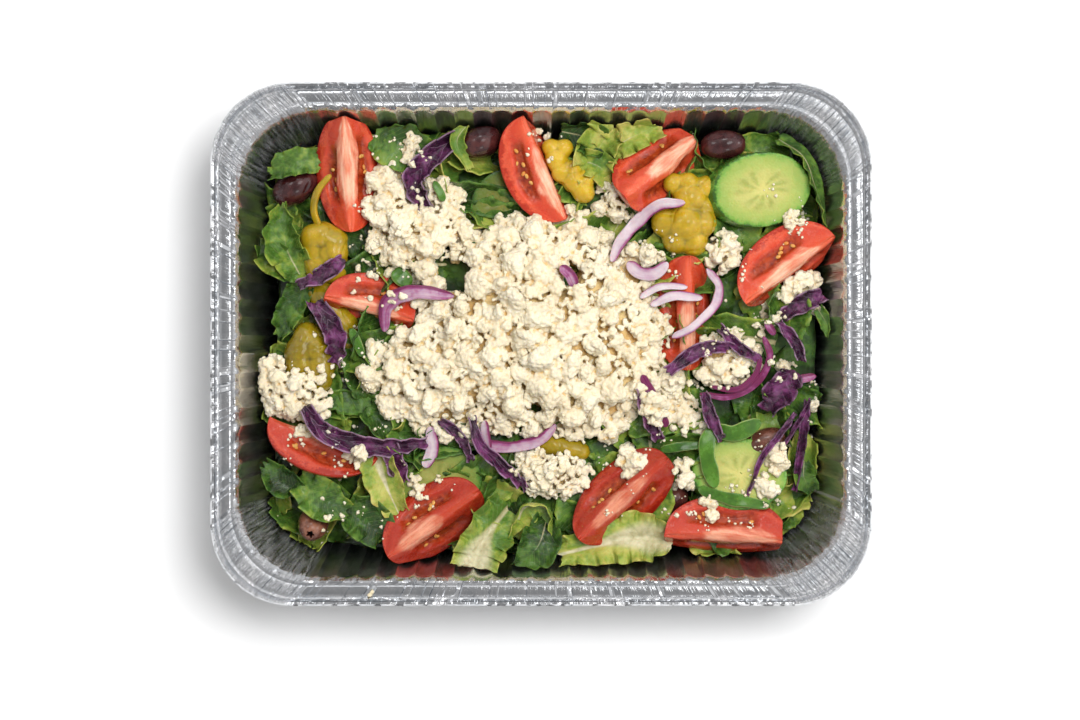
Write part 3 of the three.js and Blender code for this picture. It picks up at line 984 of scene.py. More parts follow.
class Table:
    """Turns finished shapes into pieces on the frame, and knows what lies where."""

    def __init__(self) -> None:
        """Start with nothing laid."""
        self.ground: list[BVHTree] = []
        self.toppings: list[BVHTree] = []

    def serve(
        self, shape: BMesh, name: str, finishes: Sequence[Material], slot: Slot,
        nodes: Sequence[str] = (), topping: bool = False, ground: bool = True, rounds: int = 0,
        thick: float = 0.0,
    ) -> None:
        """Finish a piece.

        Args:
            shape: Its mesh, in millimetres. It is used up.
            name: The piece's name.
            finishes: Its materials.
            slot: The kind of piece; every piece but the foil is drawn in from the tray's wall below its rim.
            nodes: The CAD nodes that it stands for.
            topping: Whether loose cheese keeps clear of it.
            ground: Whether later pieces can lie on it.
            rounds: Levels of subdivision.
            thick: The thickness that a sheet is given, in millimetres, or 0 for a solid.
        """
        if slot is not Slot.FOIL:
            for vert in shape.verts:
                if vert.co.z < TRAY.height - 3:
                    vert.co = TRAY.keep_inside(vert.co, 1.4)
        if ground:
            tree = BVHTree.FromBMesh(shape)
            self.ground.append(tree)
            if topping:
                self.toppings.append(tree)
        bmesh.ops.scale(shape, vec=Vector((MM, MM, MM)), verts=shape.verts)
        for face in shape.faces:
            face.smooth = True
        mesh = mesh_of(shape, name)
        for material in finishes:
            mesh.materials.append(material)
        piece = added(name, mesh)
        if thick:
            modifier = piece.modifiers.new("thickness", "SOLIDIFY")
            modifier.thickness, modifier.offset = thick * MM, 0.0
        if rounds:
            modifier = piece.modifiers.new("rounding", "SUBSURF")
            modifier.levels = modifier.render_levels = rounds
        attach(piece, "root")
        if nodes:
            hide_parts(*nodes)
        LOG.info("%s: %d faces", name, len(mesh.polygons))

    def under(self, x: float, y: float) -> float:
        """The height of the highest surface at a place, or of the tray's floor."""
        spots = [tree.ray_cast(Vector((x, y, SKY)), DOWN)[0] for tree in self.ground]
        return max([0.6] + [spot.z for spot in spots if spot is not None])

    def clear_of_toppings(self, spot: Vector, room: float) -> bool:
        """Whether no topping is nearer than some room, or right above.

        Args:
            spot: The spot.
            room: The least way to any topping, in millimetres.

        Returns:
            False where a topping is nearer, or right above.
        """
        return all(
            tree.find_nearest(spot, room)[0] is None and tree.ray_cast(spot, UP, 30)[0] is None
            for tree in self.toppings
        )


# ---- The foil tray ------------------------------------------------------------------------


@dataclass(frozen=True)
class Column:
    """One upright line of the tray's skin."""

    side: int
    along: float
    turn: float
    phase: float  # place within its flute, 0 at the cusp between two
    vigour: float  # how deep its flute is, beside a usual one

    def bent(self) -> float:
        """How far it is into a corner, from 0 to 1."""
        return smooth_step(0.0, 0.12, self.turn) * smooth_step(1.0, 0.88, self.turn)


@dataclass(frozen=True)
class Ring:
    """One line round the tray: how far in from the rim's edge, how high, how rough."""

    inset: float
    height: float
    corner: float
    flute: float = 0.0
    gather: float = 0.0
    crinkle: float = 0.0


@dataclass(frozen=True)
class TrayOutline:
    """The tray's rounded rectangle at any inset, and the slope of its wall."""

    length: float = 324.0
    width: float = 256.5
    height: float = 64.0
    opening_inset: float = 13.0
    opening_corner: float = 38.0
    base_inset: float = 31.0
    base_corner: float = 26.0

    def point(self, column: Column, inset: float, corner: float) -> Vector:
        """A column's point on the outline.

        Args:
            column: The column.
            inset: How far in from the rim's edge.
            corner: The corner radius there.

        Returns:
            The point, at height 0.
        """
        x = self.length / 2 - inset - corner
        y = self.width / 2 - inset - corner
        centres = [(x, y), (-x, y), (-x, -y), (x, -y)]
        start, end = centres[(column.side + 3) % 4], centres[column.side]
        angle = (column.side + column.turn) * math.pi / 2
        return Vector((
            mix(start[0], end[0], column.along) + corner * math.cos(angle),
            mix(start[1], end[1], column.along) + corner * math.sin(angle),
            0.0,
        ))

    def wall(self, height: float) -> tuple[float, float]:
        """The inset of the wall's inner face at a height, and its corner radius.

        Args:
            height: The height over the floor.

        Returns:
            The inset and the radius.
        """
        share = min(max(height / self.height, 0.0), 1.0)
        return (
            mix(self.base_inset, self.opening_inset, share), mix(self.base_corner, self.opening_corner, share)
        )

    def keep_inside(self, spot: Vector, room: float) -> Vector:
        """A spot drawn in from the wall and up from the floor where it is too near.

        Args:
            spot: A place, in millimetres.
            room: The least room from the wall's middle face.

        Returns:
            The place, moved only if it had to be.
        """
        inset, corner = self.wall(spot.z)
        inset += room
        half_x = self.length / 2 - inset - corner
        half_y = self.width / 2 - inset - corner
        over_x, over_y = abs(spot.x) - half_x, abs(spot.y) - half_y
        if over_x > 0 and over_y > 0:
            away = math.hypot(over_x, over_y)
            if away > corner:
                over_x, over_y = over_x * corner / away, over_y * corner / away
        else:
            over_x, over_y = min(over_x, corner), min(over_y, corner)
        return Vector((
            math.copysign(half_x + over_x, spot.x), math.copysign(half_y + over_y, spot.y), max(spot.z, 1.0)
        ))


TRAY = TrayOutline()


@dataclass(frozen=True)
class FoilTray:
    """The tray: a rolled bead, a creased flange, fluted walls and a flat floor."""

    outline: TrayOutline = TRAY
    long_flutes: int = 23
    short_flutes: int = 17
    corner_pleats: int = 9
    per_flute: int = 10
    flute: float = 0.75  # how deep a flute is
    crisp: float = 0.42  # a fold sharper than this many radians shows as a line
    crumple: float = 0.2  # how far the corner walls are creased in and out
    thick: float = 0.3
    foot: float = 4.0  # the radius and height of the turn from the wall to the floor
    rim: tuple[Ring, ...] = (
        Ring(2.2, 61.2, 38.6, crinkle=0.2),
        Ring(0.9, 61.0, 39.4, crinkle=0.3),
        Ring(0.15, 61.9, 40.0, crinkle=0.5),
        Ring(0.15, 63.0, 40.0, gather=0.15, crinkle=0.5),
        Ring(0.9, 63.75, 39.4, gather=0.3, crinkle=0.5),
        Ring(1.8, 63.6, 39.0, gather=0.4, crinkle=0.4),
        Ring(2.5, 62.7, 38.8, gather=0.3, crinkle=0.3),
        Ring(2.95, 63.1, 38.8, gather=0.3, crinkle=0.6),
        Ring(3.4, 63.5, 38.8, gather=0.3, crinkle=0.6),
        Ring(3.9, 63.2, 38.8, gather=0.4, crinkle=0.4),
        Ring(4.35, 62.7, 38.8, gather=0.5, crinkle=0.2),
        Ring(4.9, 62.95, 38.8, gather=0.8, crinkle=0.2),
        Ring(6.2, 63.1, 38.8, gather=1.0),
        Ring(7.8, 63.1, 38.6, gather=1.0),
        Ring(9.3, 62.95, 38.5, gather=0.9),
        Ring(9.9, 62.6, 38.4, gather=0.6),
        Ring(10.6, 63.1, 38.4, gather=0.7, crinkle=0.2),
        Ring(11.4, 63.3, 38.3, gather=0.6, crinkle=0.4),
        Ring(12.2, 63.1, 38.2, gather=0.5, crinkle=0.5),
        Ring(12.8, 62.4, 38.0, 0.1, 0.3, 0.3),
    )
    wall_heights: tuple[float, ...] = (61.0, 59.0, 56.0, 51.0, 45.0, 38.0, 31.0, 24.0, 17.0, 11.0, 7.0, 4.5)

    def columns(self) -> list[Column]:
        """The tray's upright lines, with corners pleated more tightly than sides.

        Returns:
            The columns, in order round the tray.
        """
        rng = random.Random(4)
        columns = []
        flute = 0
        for side in range(4):
            flutes = self.long_flutes if side % 2 else self.short_flutes
            count = flutes * self.per_flute
            columns += [Column(side, k / count, 0.0, flute + k / self.per_flute, 1.0) for k in range(count)]
            flute += flutes
            steps = self.per_flute - 2
            pleats = [rng.uniform(0.25, 0.6) for _ in range(self.corner_pleats)]
            count = self.corner_pleats * steps
            columns += [
                Column(side, 1.0, k / count, flute + k / steps, pleats[k // steps]) for k in range(count)
            ]
            flute += self.corner_pleats
        return columns

    def gather(self, columns: list[Column]) -> list[float]:
        """Crease the flange: draw columns together at each crease.

        Args:
            columns: The tray's columns, changed in place.

        Returns:
            How far the flange is creased up or down at each column, from -1 to 1.
        """
        rng = random.Random(11)
        count = len(columns)
        lift = [0.0] * count
        index = 2
        while index < count - 2:
            here = columns[index]
            corner = here.turn > 0
            lift[index] = rng.choice((-1, 1, 1)) * rng.uniform(0.35, 1.0)
            for near in (index - 1, index + 1):
                side = columns[near]
                if side.side == here.side and (side.turn > 0) == corner:
                    close = rng.uniform(0.4, 0.7)
                    columns[near] = Column(
                        side.side, mix(side.along, here.along, close), mix(side.turn, here.turn, close),
                        mix(side.phase, here.phase, close), side.vigour,
                    )
            index += rng.randint(2, 4) if corner else rng.choice((2, 2, 3, 4, 6, 9, 14))
        return lift

    def rings(self) -> list[Ring]:
        """The lines round the skin, from under the bead to the foot of the wall.

        Returns:
            The rings, from the top down.
        """
        rings = list(self.rim)
        for height in self.wall_heights:
            inset, corner = self.outline.wall(height)
            depth = self.flute * smooth_step(62.5, 57.0, height) * smooth_step(2.0, 9.0, height) + 0.15
            rings.append(Ring(inset, height, corner, depth, 0.15 * smooth_step(40, 62, height)))
        inset, corner = self.outline.wall(self.foot)
        for turn in (20, 45, 70, 90):
            across, down = math.cos(math.radians(turn)), math.sin(math.radians(turn))
            rings.append(Ring(
                inset + 3.7 * (1 - across), self.foot - 3.75 * down, corner - 2, 0.15 * across
            ))
        return rings

    def _spot(self, column: Column, ring: Ring, lift: float, creases: Sequence[float]) -> Vector:
        """Where a column and a ring meet.

        Args:
            column: The column.
            ring: The ring.
            lift: How far the flange is creased up there, from -1 to 1.
            creases: Random numbers for the column, the pleat, the pinch and the dent.

        Returns:
            The point, in millimetres.
        """
        own, pleat, pinch, dent = creases
        swing = ring.flute * column.vigour * (1 - 2 * abs(math.sin(math.pi * column.phase)))
        swing += self.crumple * column.bent() * ring.flute * (own + 0.6 * pleat)
        spot = self.outline.point(column, ring.inset + swing + ring.crinkle * 0.12 * pinch, ring.corner)
        spot.z = ring.height + 0.7 * ring.gather * lift + ring.crinkle * 0.16 * dent
        return spot

    def build(self) -> BMesh:
        """The tray's skin as one sheet, with its sharp folds marked.

        Returns:
            The mesh.
        """
        shape = bmesh.new()
        girth, reach, bend = layers(shape, "girth", "reach", "bend")
        columns = self.columns()
        lift = self.gather(columns)
        flange = [self.outline.point(column, 7.0, 38.6) for column in columns]
        rng = random.Random(23)
        jitter = [rng.gauss(0.0, 1.0) for _ in columns]
        count = len(columns)
        run = [0.0]
        for before, after in zip(flange, flange[1:]):
            run.append(run[-1] + (after - before).length)
        rings = self.rings()
        bmesh.ops.create_circle(shape, segments=count, radius=100)
        line = sorted(shape.verts, key=lambda vert: math.atan2(vert.co.y, vert.co.x) % math.tau)
        travel, last = 0.0, rings[0]
        for order, ring in enumerate(rings):
            if order:
                line = next_ring(shape, line)
                travel += math.hypot(ring.inset - last.inset, ring.height - last.height)
                last = ring
            for index, (vert, column) in enumerate(zip(line, columns)):
                picks = (index, index + order * 5, index + order * 3, index * 7 + order)
                vert.co = self._spot(column, ring, lift[index], [jitter[pick % count] for pick in picks])
                vert[girth], vert[reach], vert[bend] = run[index], travel, column.bent()
        for share in (0.9, 0.7, 0.45, 0.2):
            line = next_ring(shape, line)
            for vert, column in zip(line, columns):
                edge = self.outline.point(column, rings[-1].inset, rings[-1].corner) * share
                vert.co = Vector((edge.x, edge.y, 0.28 + 0.08 * wobble(edge, 22)))
                vert[reach] = travel + 90 * (1 - share)
        hole = set(line)
        bmesh.ops.holes_fill(shape, edges=[edge for edge in borders(shape) if edge.verts[0] in hole], sides=0)
        bmesh.ops.recalc_face_normals(shape, faces=shape.faces)
        for edge in shape.edges:
            edge.smooth = len(edge.link_faces) < 2 or edge.calc_face_angle() < self.crisp
        return shape


# ---- Romaine ------------------------------------------------------------------------------

LEAF_NUMBERS = ("across", "along", "tone", "rib")  # what a leaf's or a shred's finish reads


@dataclass(frozen=True)
class Leaf:
    """A piece of romaine along its rib, from the cut base to the tip."""

    spine: tuple[Point, ...]
    width: float
    tone: float  # 0 for a dark outer leaf, 1 for a pale heart leaf
    rib: float = 0.3  # 0 for none, 1 for a broad pale rib
    roll: tuple[float, float] = (0.0, 0.0)
    fold: float = 25.0  # degrees that each half is bent up
    frill: float = 2.0
    ends: tuple[float, float] = (0.55, 0.2)  # share of the width left at base and tip
    blister: float = 0.8
    seed: int = 1
    cells: tuple[int, int] = (18, 30)

    def add_to(self, shape: BMesh) -> None:
        """Add the leaf to a shape that has its named numbers.

        Args:
            shape: The shape.
        """
        names = [shape.verts.layers.float[name] for name in LEAF_NUMBERS]
        made = bmesh.ops.create_grid(shape, x_segments=self.cells[0], y_segments=self.cells[1], size=1.0)
        route = Route(self.spine)
        length = route.length()
        for vert in made["verts"]:
            side, share = vert.co.x, (vert.co.y + 1) / 2
            vert.co = TRAY.keep_inside(self._spot(route, length, side, share), 1.6)
            rib = self.rib * mix(1, 0.15, smooth_step(0.1, 0.8, share))
            for name, value in zip(names, (side, share, self.tone, rib)):
                vert[name] = value

    def _spot(self, route: Route, length: float, side: float, share: float) -> Vector:
        """A point of the blade: folded, frilled at its edge, blistered and torn at its ends.

        Args:
            route: The line of its rib.
            length: The rib's length.
            side: The place across the blade, from -1 to 1.
            share: The place along it, from 0 to 1.

        Returns:
            The point, in millimetres.
        """
        seed, edge = self.seed * 1.37, abs(side)
        spot, forward, left, up = route.frame(share)
        tilt = math.radians(mix(self.roll[0], self.roll[1], share))
        left, up = left * math.cos(tilt) + up * math.sin(tilt), up * math.cos(tilt) - left * math.sin(tilt)
        base, tip = self.ends
        breadth = mix(base, 1, smooth_step(0, 0.35, share)) * mix(tip, 1, smooth_step(1, 0.6, share))
        ragged = 1 + 0.16 * ripple(share * length / 5, seed, math.copysign(3, side)) * edge
        half = self.width / 2 * breadth * ragged
        angle = math.radians(self.fold) * edge
        fringe = edge**2.2
        phase = share * (length / 9.0) * math.tau + seed + (2 if side > 0 else 0)
        ruffle = self.frill * fringe * (math.sin(phase) + 0.5 * math.sin(phase * 2.3 + 1.0))
        flat = Vector((side * half / 5.5, share * length / 5.5, seed * 3))
        puff = self.blister * (noise.noise(flat) + 0.4 * noise.noise(flat * 2.6)) * (0.3 + 0.7 * edge)
        sag = 1.2 * ripple(share * length / 18, side * 0.8, seed * 5)
        groove = self.rib * 0.8 * math.exp(-((side * half / 2.2) ** 2))
        torn = 2.5 * ripple(side * 2.6, seed, 5) + ripple(side * 8, seed, 5)
        spot = spot + left * (side * half * math.cos(angle * 0.6))
        spot = spot + up * (edge * half * math.sin(angle) + ruffle + puff + sag - groove)
        return spot + forward * (
            0.35 * self.frill * fringe * math.cos(phase * 1.1) + torn * abs(2 * share - 1) ** 4
        )

    def build(self) -> BMesh:
        """The leaf by itself."""
        return leaf_shape([self])


def leaf_shape(leaves: Iterable[Leaf]) -> BMesh:
    """One mesh of several leaves.

    Args:
        leaves: The leaves.

    Returns:
        The mesh, in millimetres.
    """
    shape = bmesh.new()
    layers(shape, *LEAF_NUMBERS)
    for leaf in leaves:
        leaf.add_to(shape)
    return shape


SHOWN_LEAVES: dict[str, Leaf] = {
    "back_heart": Leaf(
        ((23, 80, 41), (27, 94, 45), (36, 108, 48)), 22, 0.72, 0.2, (25, -20), 30, 4.2, (0.7, 0.9), 2.4, 3,
        (30, 46),
    ),
    "back_heart_mid": Leaf(
        ((30, 93, 44), (42, 101, 46), (58, 109, 45)), 17, 0.78, 0.2, (-20, 10), 30, 3.8, (0.8, 0.8), 2.4, 4,
        (30, 46),
    ),
    "back_heart_low": Leaf(
        ((18, 92, 43), (29, 88, 46), (36, 79, 42)), 15, 0.6, 0.1, (10, -10), 30, 3.0, (0.8, 0.8), 1.8, 24,
    ),
    "back_heart_dark": Leaf(
        ((10, 106, 42), (22, 103, 44), (33, 97, 44)), 18, 0.2, 0.1, (10, -10), 30, 2.4, (0.7, 0.8), 1.4, 22,
    ),
    "back_left_slip": Leaf(
        ((-110.9, 91.6, 44), (-123.6, 90, 46), (-135, 84, 42)), 14, 0.42, 0.0, (0, 20), 20, 1.8, (0.9, 0.5),
        1.4, 5,
    ),
    "left_fold": Leaf(
        ((-120.2, 34.6, 42), (-126.7, 49.3, 46), (-127.6, 69.6, 47)), 21, 0.45, 0.1, (10, -20), 50, 2.8,
        (0.8, 0.3), 2.4, 6, (30, 46),
    ),
    "left_fold_low": Leaf(
        ((-115.9, 37.1, 40), (-130.7, 41.1, 42), (-143, 50, 38)), 18, 0.46, 0.0, (-10, 15), 35, 2.8, (0.8, 0.5),
        2.2, 7, (30, 46),
    ),
    "left_low": Leaf(
        ((-118.9, 30.1, 38), (-124.5, 17.2, 38), (-130.8, 3.2, 34)), 15, 0.35, 0.0, (0, 20), 30, 2.2,
        (0.9, 0.5), 1.6, 8,
    ),
    "front_left_mid": Leaf(
        ((-121, -68, 40), (-109, -77, 44), (-97, -84, 42)), 21, 0.38, 0.0, (0, -15), 25, 1.8, (0.6, 0.5), 1.6,
        9,
    ),
    "front_left_dark": Leaf(
        ((-97, -78, 41), (-86, -88, 43), (-79, -98, 41)), 23, 0.22, 0.0, (10, -20), 30, 2.2, (0.6, 0.6), 1.8,
        25,
    ),
    "front_left_small": Leaf(
        ((-120, -72, 39), (-130.4, -67, 40), (-138, -60, 42)), 16, 0.18, 0.0, (-15, 10), 35, 1.6, (0.7, 0.5),
        0.8, 10,
    ),
    "front_left_heart": Leaf(
        ((-84, -50, 45), (-77.9, -67.4, 47), (-71, -84, 45)), 19, 0.72, 0.8, (0, 15), 25, 1.8, (0.8, 0.7), 0.8,
        11,
    ),
    # A heart leaf with its tone set lower: painted shade for the weaker light at the front of the tray.
    "front_heart": Leaf(
        ((-33.6, -111.5, 53), (-28.2, -97.2, 53), (-15.4, -80.3, 47)), 25, 0.54, 2.3, (0, 10), 22, 3.4,
        (0.95, 0.9), 2.0, 12, (30, 46),
    ),
    "front_roll": Leaf(
        ((-14.4, -95.3, 45), (-8.4, -80.6, 50), (3.5, -82.2, 49), (5, -93.7, 47)), 13, 0.66, 0.5, (35, 60), 50,
        1.0, (0.9, 0.7), 0.5, 13,
    ),
    "front_dark_curl": Leaf(
        ((3, -86.3, 46), (-1.5, -99.8, 51), (-12.3, -110.7, 51)), 21, 0.2, 0.1, (10, -20), 30, 2.2, (0.5, 0.5),
        1.4, 14,
    ),
    "front_heart_right": Leaf(
        ((66, -98, 43), (42, -96, 47), (10, -104, 48)), 25, 0.7, 2.6, (0, 15), 15, 3.8, (0.5, 0.6), 2.6, 15,
        (30, 46),
    ),
    "right_upright": Leaf(
        ((117.6, 102.3, 46), (130, 93.9, 47), (135.5, 80.5, 46), (140.6, 65.7, 45), (142.8, 51.9, 43)), 18,
        0.36, 0.2, (-50, -60), 20, 1.4, (0.7, 0.7), 0.7, 16,
    ),
    "olive_upright": Leaf(
        ((76.1, 106, 44), (76.6, 94.1, 44), (84.7, 83.8, 42)), 12, 0.32, 0.2, (60, 60), 20, 1.0, (0.8, 0.8),
        0.6, 17,
    ),
    "back_slip": Leaf(
        ((-36.3, 110, 44), (-41.7, 100, 46), (-35.3, 86.6, 44)), 8, 0.62, 0.2, (30, -40), 40, 0.8, (0.3, 0.5),
        0.4, 18,
    ),
    "back_mid_left": Leaf(
        ((-82.2, 105.7, 42), (-71.2, 99.2, 44), (-56, 91.8, 42)), 25, 0.34, 0.0, (0, 0), 15, 1.6, (0.7, 0.7),
        0.9, 19,
    ),
    "right_front_slip": Leaf(
        ((131.8, -58.9, 34), (131.7, -66.9, 36), (136.4, -74, 33)), 12, 0.3, 0.1, (0, 0), 20, 1.2, (0.8, 0.5),
        0.6, 20,
    ),
    "right_chip": Leaf(
        ((137.5, 17.5, 46), (141.5, 10.5, 47), (143, 4, 46)), 7, 0.4, 0.1, (0, 0), 20, 0.8, (0.8, 0.5), 0.4, 21,
    ),
}


@dataclass(frozen=True)
class RomaineHeap:
    """The leaves under everything: a core coloured dark as painted shade, loose leaves over it and those that show.
    """

    loose: int = 150
    seed: int = 8
    end: float = 138.0  # how far along the tray the loose leaves reach
    side: float = 104.0  # how far across it
    mound: tuple[float, float, float, float] = (-10.0, 12.0, 62.0, 42.0)  # where cheese hides them all
    sheet: float = 0.45  # how thick a loose leaf is
    shown_sheet: float = 0.5

    def core(self) -> BMesh:
        """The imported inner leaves: the CAD heap drawn in, with folds over it.

        Returns:
            The mesh.
        """
        shape = copy_of("romaine_heap")
        bmesh.ops.subdivide_edges(shape, edges=shape.edges, cuts=3, use_grid_fill=True)
        across, along, tone, _ = layers(shape, *LEAF_NUMBERS)
        push_out(shape, lambda vert: -3.0 + 1.8 * wobble(vert.co, 11) + 0.8 * wobble(vert.co, 4, 2))
        for vert in shape.verts:
            vert.co = TRAY.keep_inside(vert.co, 2.0)
            # the core's low tone paints the shade deep in the heap
            vert[across], vert[along], vert[tone] = 0.9, 0.5, 0.1 + 0.12 * wobble(vert.co, 14, 5)
        return shape

    def loose_leaves(self, table: Table, low: float, high: float) -> BMesh:
        """Scattered torn leaves over one stretch of the tray.

        Args:
            table: Knows what they lie on.
            low: Where the stretch starts along the tray.
            high: Where it ends.

        Returns:
            The leaves, in millimetres.
        """
        rng = random.Random(self.seed + int(low))
        middle_x, middle_y, half_x, half_y = self.mound
        leaves = []
        while len(leaves) < self.loose // 2:
            x, y = rng.uniform(low, high), rng.uniform(-self.side, self.side)
            if (x - middle_x) ** 2 / half_x**2 + (y - middle_y) ** 2 / half_y**2 < 1:
                continue
            inside = TRAY.keep_inside(Vector((x, y, 36)), 9)
            z = table.under(inside.x, inside.y)
            yaw, length = rng.uniform(0, math.tau), rng.uniform(22, 44)
            run = Vector((math.cos(yaw), math.sin(yaw), 0)) * length / 2
            mid = Vector((inside.x, inside.y, z + rng.uniform(2.0, 5.0)))
            start = mid - run + Vector((0, 0, rng.uniform(-4, 2)))
            end = mid + run + Vector((0, 0, rng.uniform(-4, 2)))
            leaves.append(Leaf(
                spine=(tuple(start), tuple(mid), tuple(end)), width=rng.uniform(14, 28),
                tone=rng.choice((0.18, 0.26, 0.34, 0.42, 0.52, 0.66)), rib=rng.choice((0.0, 0.0, 0.0, 0.3)),
                roll=(rng.uniform(-30, 30), rng.uniform(-30, 30)), fold=rng.uniform(5, 60),
                frill=rng.uniform(1.0, 3.0), ends=(rng.uniform(0.7, 1), rng.uniform(0.5, 1.0)),
                blister=rng.uniform(0.8, 1.8), seed=rng.randint(30, 900), cells=(12, 16),
            ))
        return leaf_shape(leaves)

    def build(self, table: Table, finish: Material) -> None:
        """Make every leaf.

        Args:
            table: What the leaves are laid on.
            finish: Their material.
        """
        table.serve(self.core(), "romaine_core", [finish], Slot.ROMAINE, ["romaine_heap"])
        halves = [self.loose_leaves(table, -self.end, 0), self.loose_leaves(table, 0, self.end)]
        for name, shape in zip(("romaine_left", "romaine_right"), halves):
            table.serve(shape, name, [finish], Slot.ROMAINE, thick=self.sheet)
        for name, leaf in SHOWN_LEAVES.items():
            table.serve(
                leaf.build(), f"romaine_{name}", [finish], Slot.ROMAINE, rounds=1, thick=self.shown_sheet
            )


# ---- Cut vegetables -----------------------------------------------------------------------


class Seeds:
    """Small flat seeds, gathered into one mesh."""

    def __init__(self) -> None:
        """Start with no seed."""
        self.shape = bmesh.new()
        (self.tone,) = layers(self.shape, "tone")

    def add(self, spot: Vector, facing: Vector, spin: float, size: Point, tone: float) -> None:
        """Lay a seed flat on a surface.

        Args:
            spot: Its middle, in millimetres.
            facing: The surface's normal.
            spin: Its turn about that normal, in radians.
            size: Its length, width and thickness.
            tone: 0 for orange, 1 for pale green.
        """
        turn = facing.to_track_quat("Z", "Y").to_matrix().to_4x4() @ Matrix.Rotation(spin, 4, "Z")
        scale = Matrix.Diagonal((size[0] / 2, size[1] / 2, size[2] / 2, 1))
        made = bmesh.ops.create_uvsphere(
            self.shape, u_segments=8, v_segments=5, radius=1.0, matrix=Matrix.Translation(spot) @ turn @ scale
        )
        for vert in made["verts"]:
            vert[self.tone] = tone


@dataclass(frozen=True)
class TomatoWedge:
    """A quarter of a plum tomato: its ridge is up, its long axis along X."""

    at: Point
    yaw: float
    rise: float
    roll: float
    length: float
    radius: float
    seed: int
    blunt: float = 1.0  # where the +X end is cut off, 1 for not at all
    core: float = 0.36  # how far from the ridge the pale core reaches
    gel: float = 1.0  # how deep the seed gel lies
    cored: tuple[float, float] = (-1.0, 1.0)  # where along it the core starts and ends
    ripe: float = 0.0  # painted shade: how much darker than usual, where less light falls
    slope: ClassVar[float] = math.radians(45)  # each cut face's slope

    def build(self, seeds: Seeds) -> BMesh:
        """The wedge in its place.

        Args:
            seeds: Where its seeds are added.

        Returns:
            The wedge, with flesh as material 0 and skin as material 1.
        """
        shape = bmesh.new()
        span, depth, _, _, ripe = layers(shape, "span", "depth", "gel", "core", "ripe")
        half = self.length / 2
        bmesh.ops.create_grid(shape, x_segments=40, y_segments=18, size=1.0)
        for vert in shape.verts:
            share = mix(-1, self.blunt, (vert.co.x + 1) / 2)
            share = math.sin(share * math.pi / 2) if self.blunt == 1.0 else share
            deep = (vert.co.y + 1) / 2
            vert[span], vert[depth], vert[ripe] = share, deep, self.ripe
            vert.co = Vector((half * share, 0, -self._reach(share) * deep))
        turn = Matrix.Rotation(-self.slope, 3, "X")
        bmesh.ops.rotate(shape, cent=(0, 0, 0), matrix=turn, verts=shape.verts)
        bmesh.ops.spin(
            shape, geom=everything(shape), cent=(0, 0, 0), axis=(1, 0, 0), dvec=(0, 0, 0),
            angle=2 * self.slope, steps=14, use_merge=False, use_duplicate=False,
        )
        bmesh.ops.remove_doubles(shape, verts=shape.verts, dist=0.01)
        bmesh.ops.dissolve_degenerate(shape, edges=shape.edges, dist=0.002)
        bmesh.ops.recalc_face_normals(shape, faces=shape.faces)
        for face in shape.faces:
            middle = face.calc_center_median()
            steep = abs(abs(math.degrees(math.atan2(middle.y, -middle.z))) - 45) < 0.6
            ended = self.blunt < 1.0 and middle.x > half * self.blunt - 0.02
            face.material_index = 0 if steep or ended else 1
        self._carve(shape)
        bmesh.ops.translate(shape, vec=(0, 0, self.radius / 2), verts=shape.verts)
        self._sow(seeds)
        place(shape, self.at, self.yaw, self.rise, self.roll)
        return shape

    def _reach(self, share: float) -> float:
        """How far the skin is from the ridge at a place along it, from -1 to 1."""
        return self.radius * max(1 - share * share, 0) ** 0.43

    def _pocket(self, share: float, deep: float, side: int) -> float:
        """How deep in a seed pocket a point of a cut face is.

        Args:
            share: Its place along the wedge, from -1 to 1.
            deep: Its place from the ridge to the skin, from 0 to 1.
            side: Which cut face, -1 or 1.

        Returns:
            From 0 outside the pocket to 1 in its middle.
        """
        middle = 0.52 + 0.05 * math.sin(share * 4 + self.seed + side)
        low = -0.66 + 0.1 * math.sin(self.seed)
        high = 0.62 + 0.1 * math.cos(self.seed * 2 + side)
        wide = 0.2 + 0.03 * math.sin(share * 9 + self.seed)
        across = smooth_step(wide, wide * 0.45, abs(deep - middle))
        return across * smooth_step(low, low + 0.2, share) * smooth_step(high, high - 0.2, share)

    def _carve(self, shape: BMesh) -> None:
        """Sink the seed pockets, mark the core, round the ridge and loosen the skin.

        Args:
            shape: The wedge about its ridge, with its span and depth.
        """
        names = ("span", "depth", "gel", "core")
        span, depth, gel, core = [shape.verts.layers.float[name] for name in names]
        start, end = self.cored
        fade = 0.6 * (end - start)
        for vert in shape.verts:
            angle = math.degrees(math.atan2(vert.co.y, -vert.co.z))
            share, deep = vert[span], vert[depth]
            side = 1 if vert.co.y > 0 else -1
            if abs(abs(angle) - 45) < 0.5 and deep > 0.001:
                pocket = self._pocket(share, deep, side)
                inward = Vector((0, -side * math.cos(self.slope), -math.sin(self.slope)))
                rough = 0.35 * wobble(vert.co, 4, self.seed) + 0.25 * wobble(vert.co, 9, self.seed + 3)
                lip = 0.25 * smooth_step(0.8, 0.95, deep)
                vert.co += inward * (2.8 * self.gel * pocket + rough * (1 - pocket) - lip)
                vert[gel] = pocket
            elif deep > 0.97:
                vert.co += vert.co.normalized() * 0.7 * wobble(vert.co, 16, self.seed)
            within = smooth_step(start, start + fade, share) * smooth_step(end, end - fade, share)
            edge = self.core * (0.3 + 0.7 * within) * (1 + 0.5 * ripple(share * 4, self.seed, side))
            vert[core] = smooth_step(edge * 1.5, edge * 0.35, deep) * smooth_step(0.0, 0.35, within)
            if deep < 0.2:
                vert.co.z -= 1.9 * (1 - deep / 0.2) ** 2

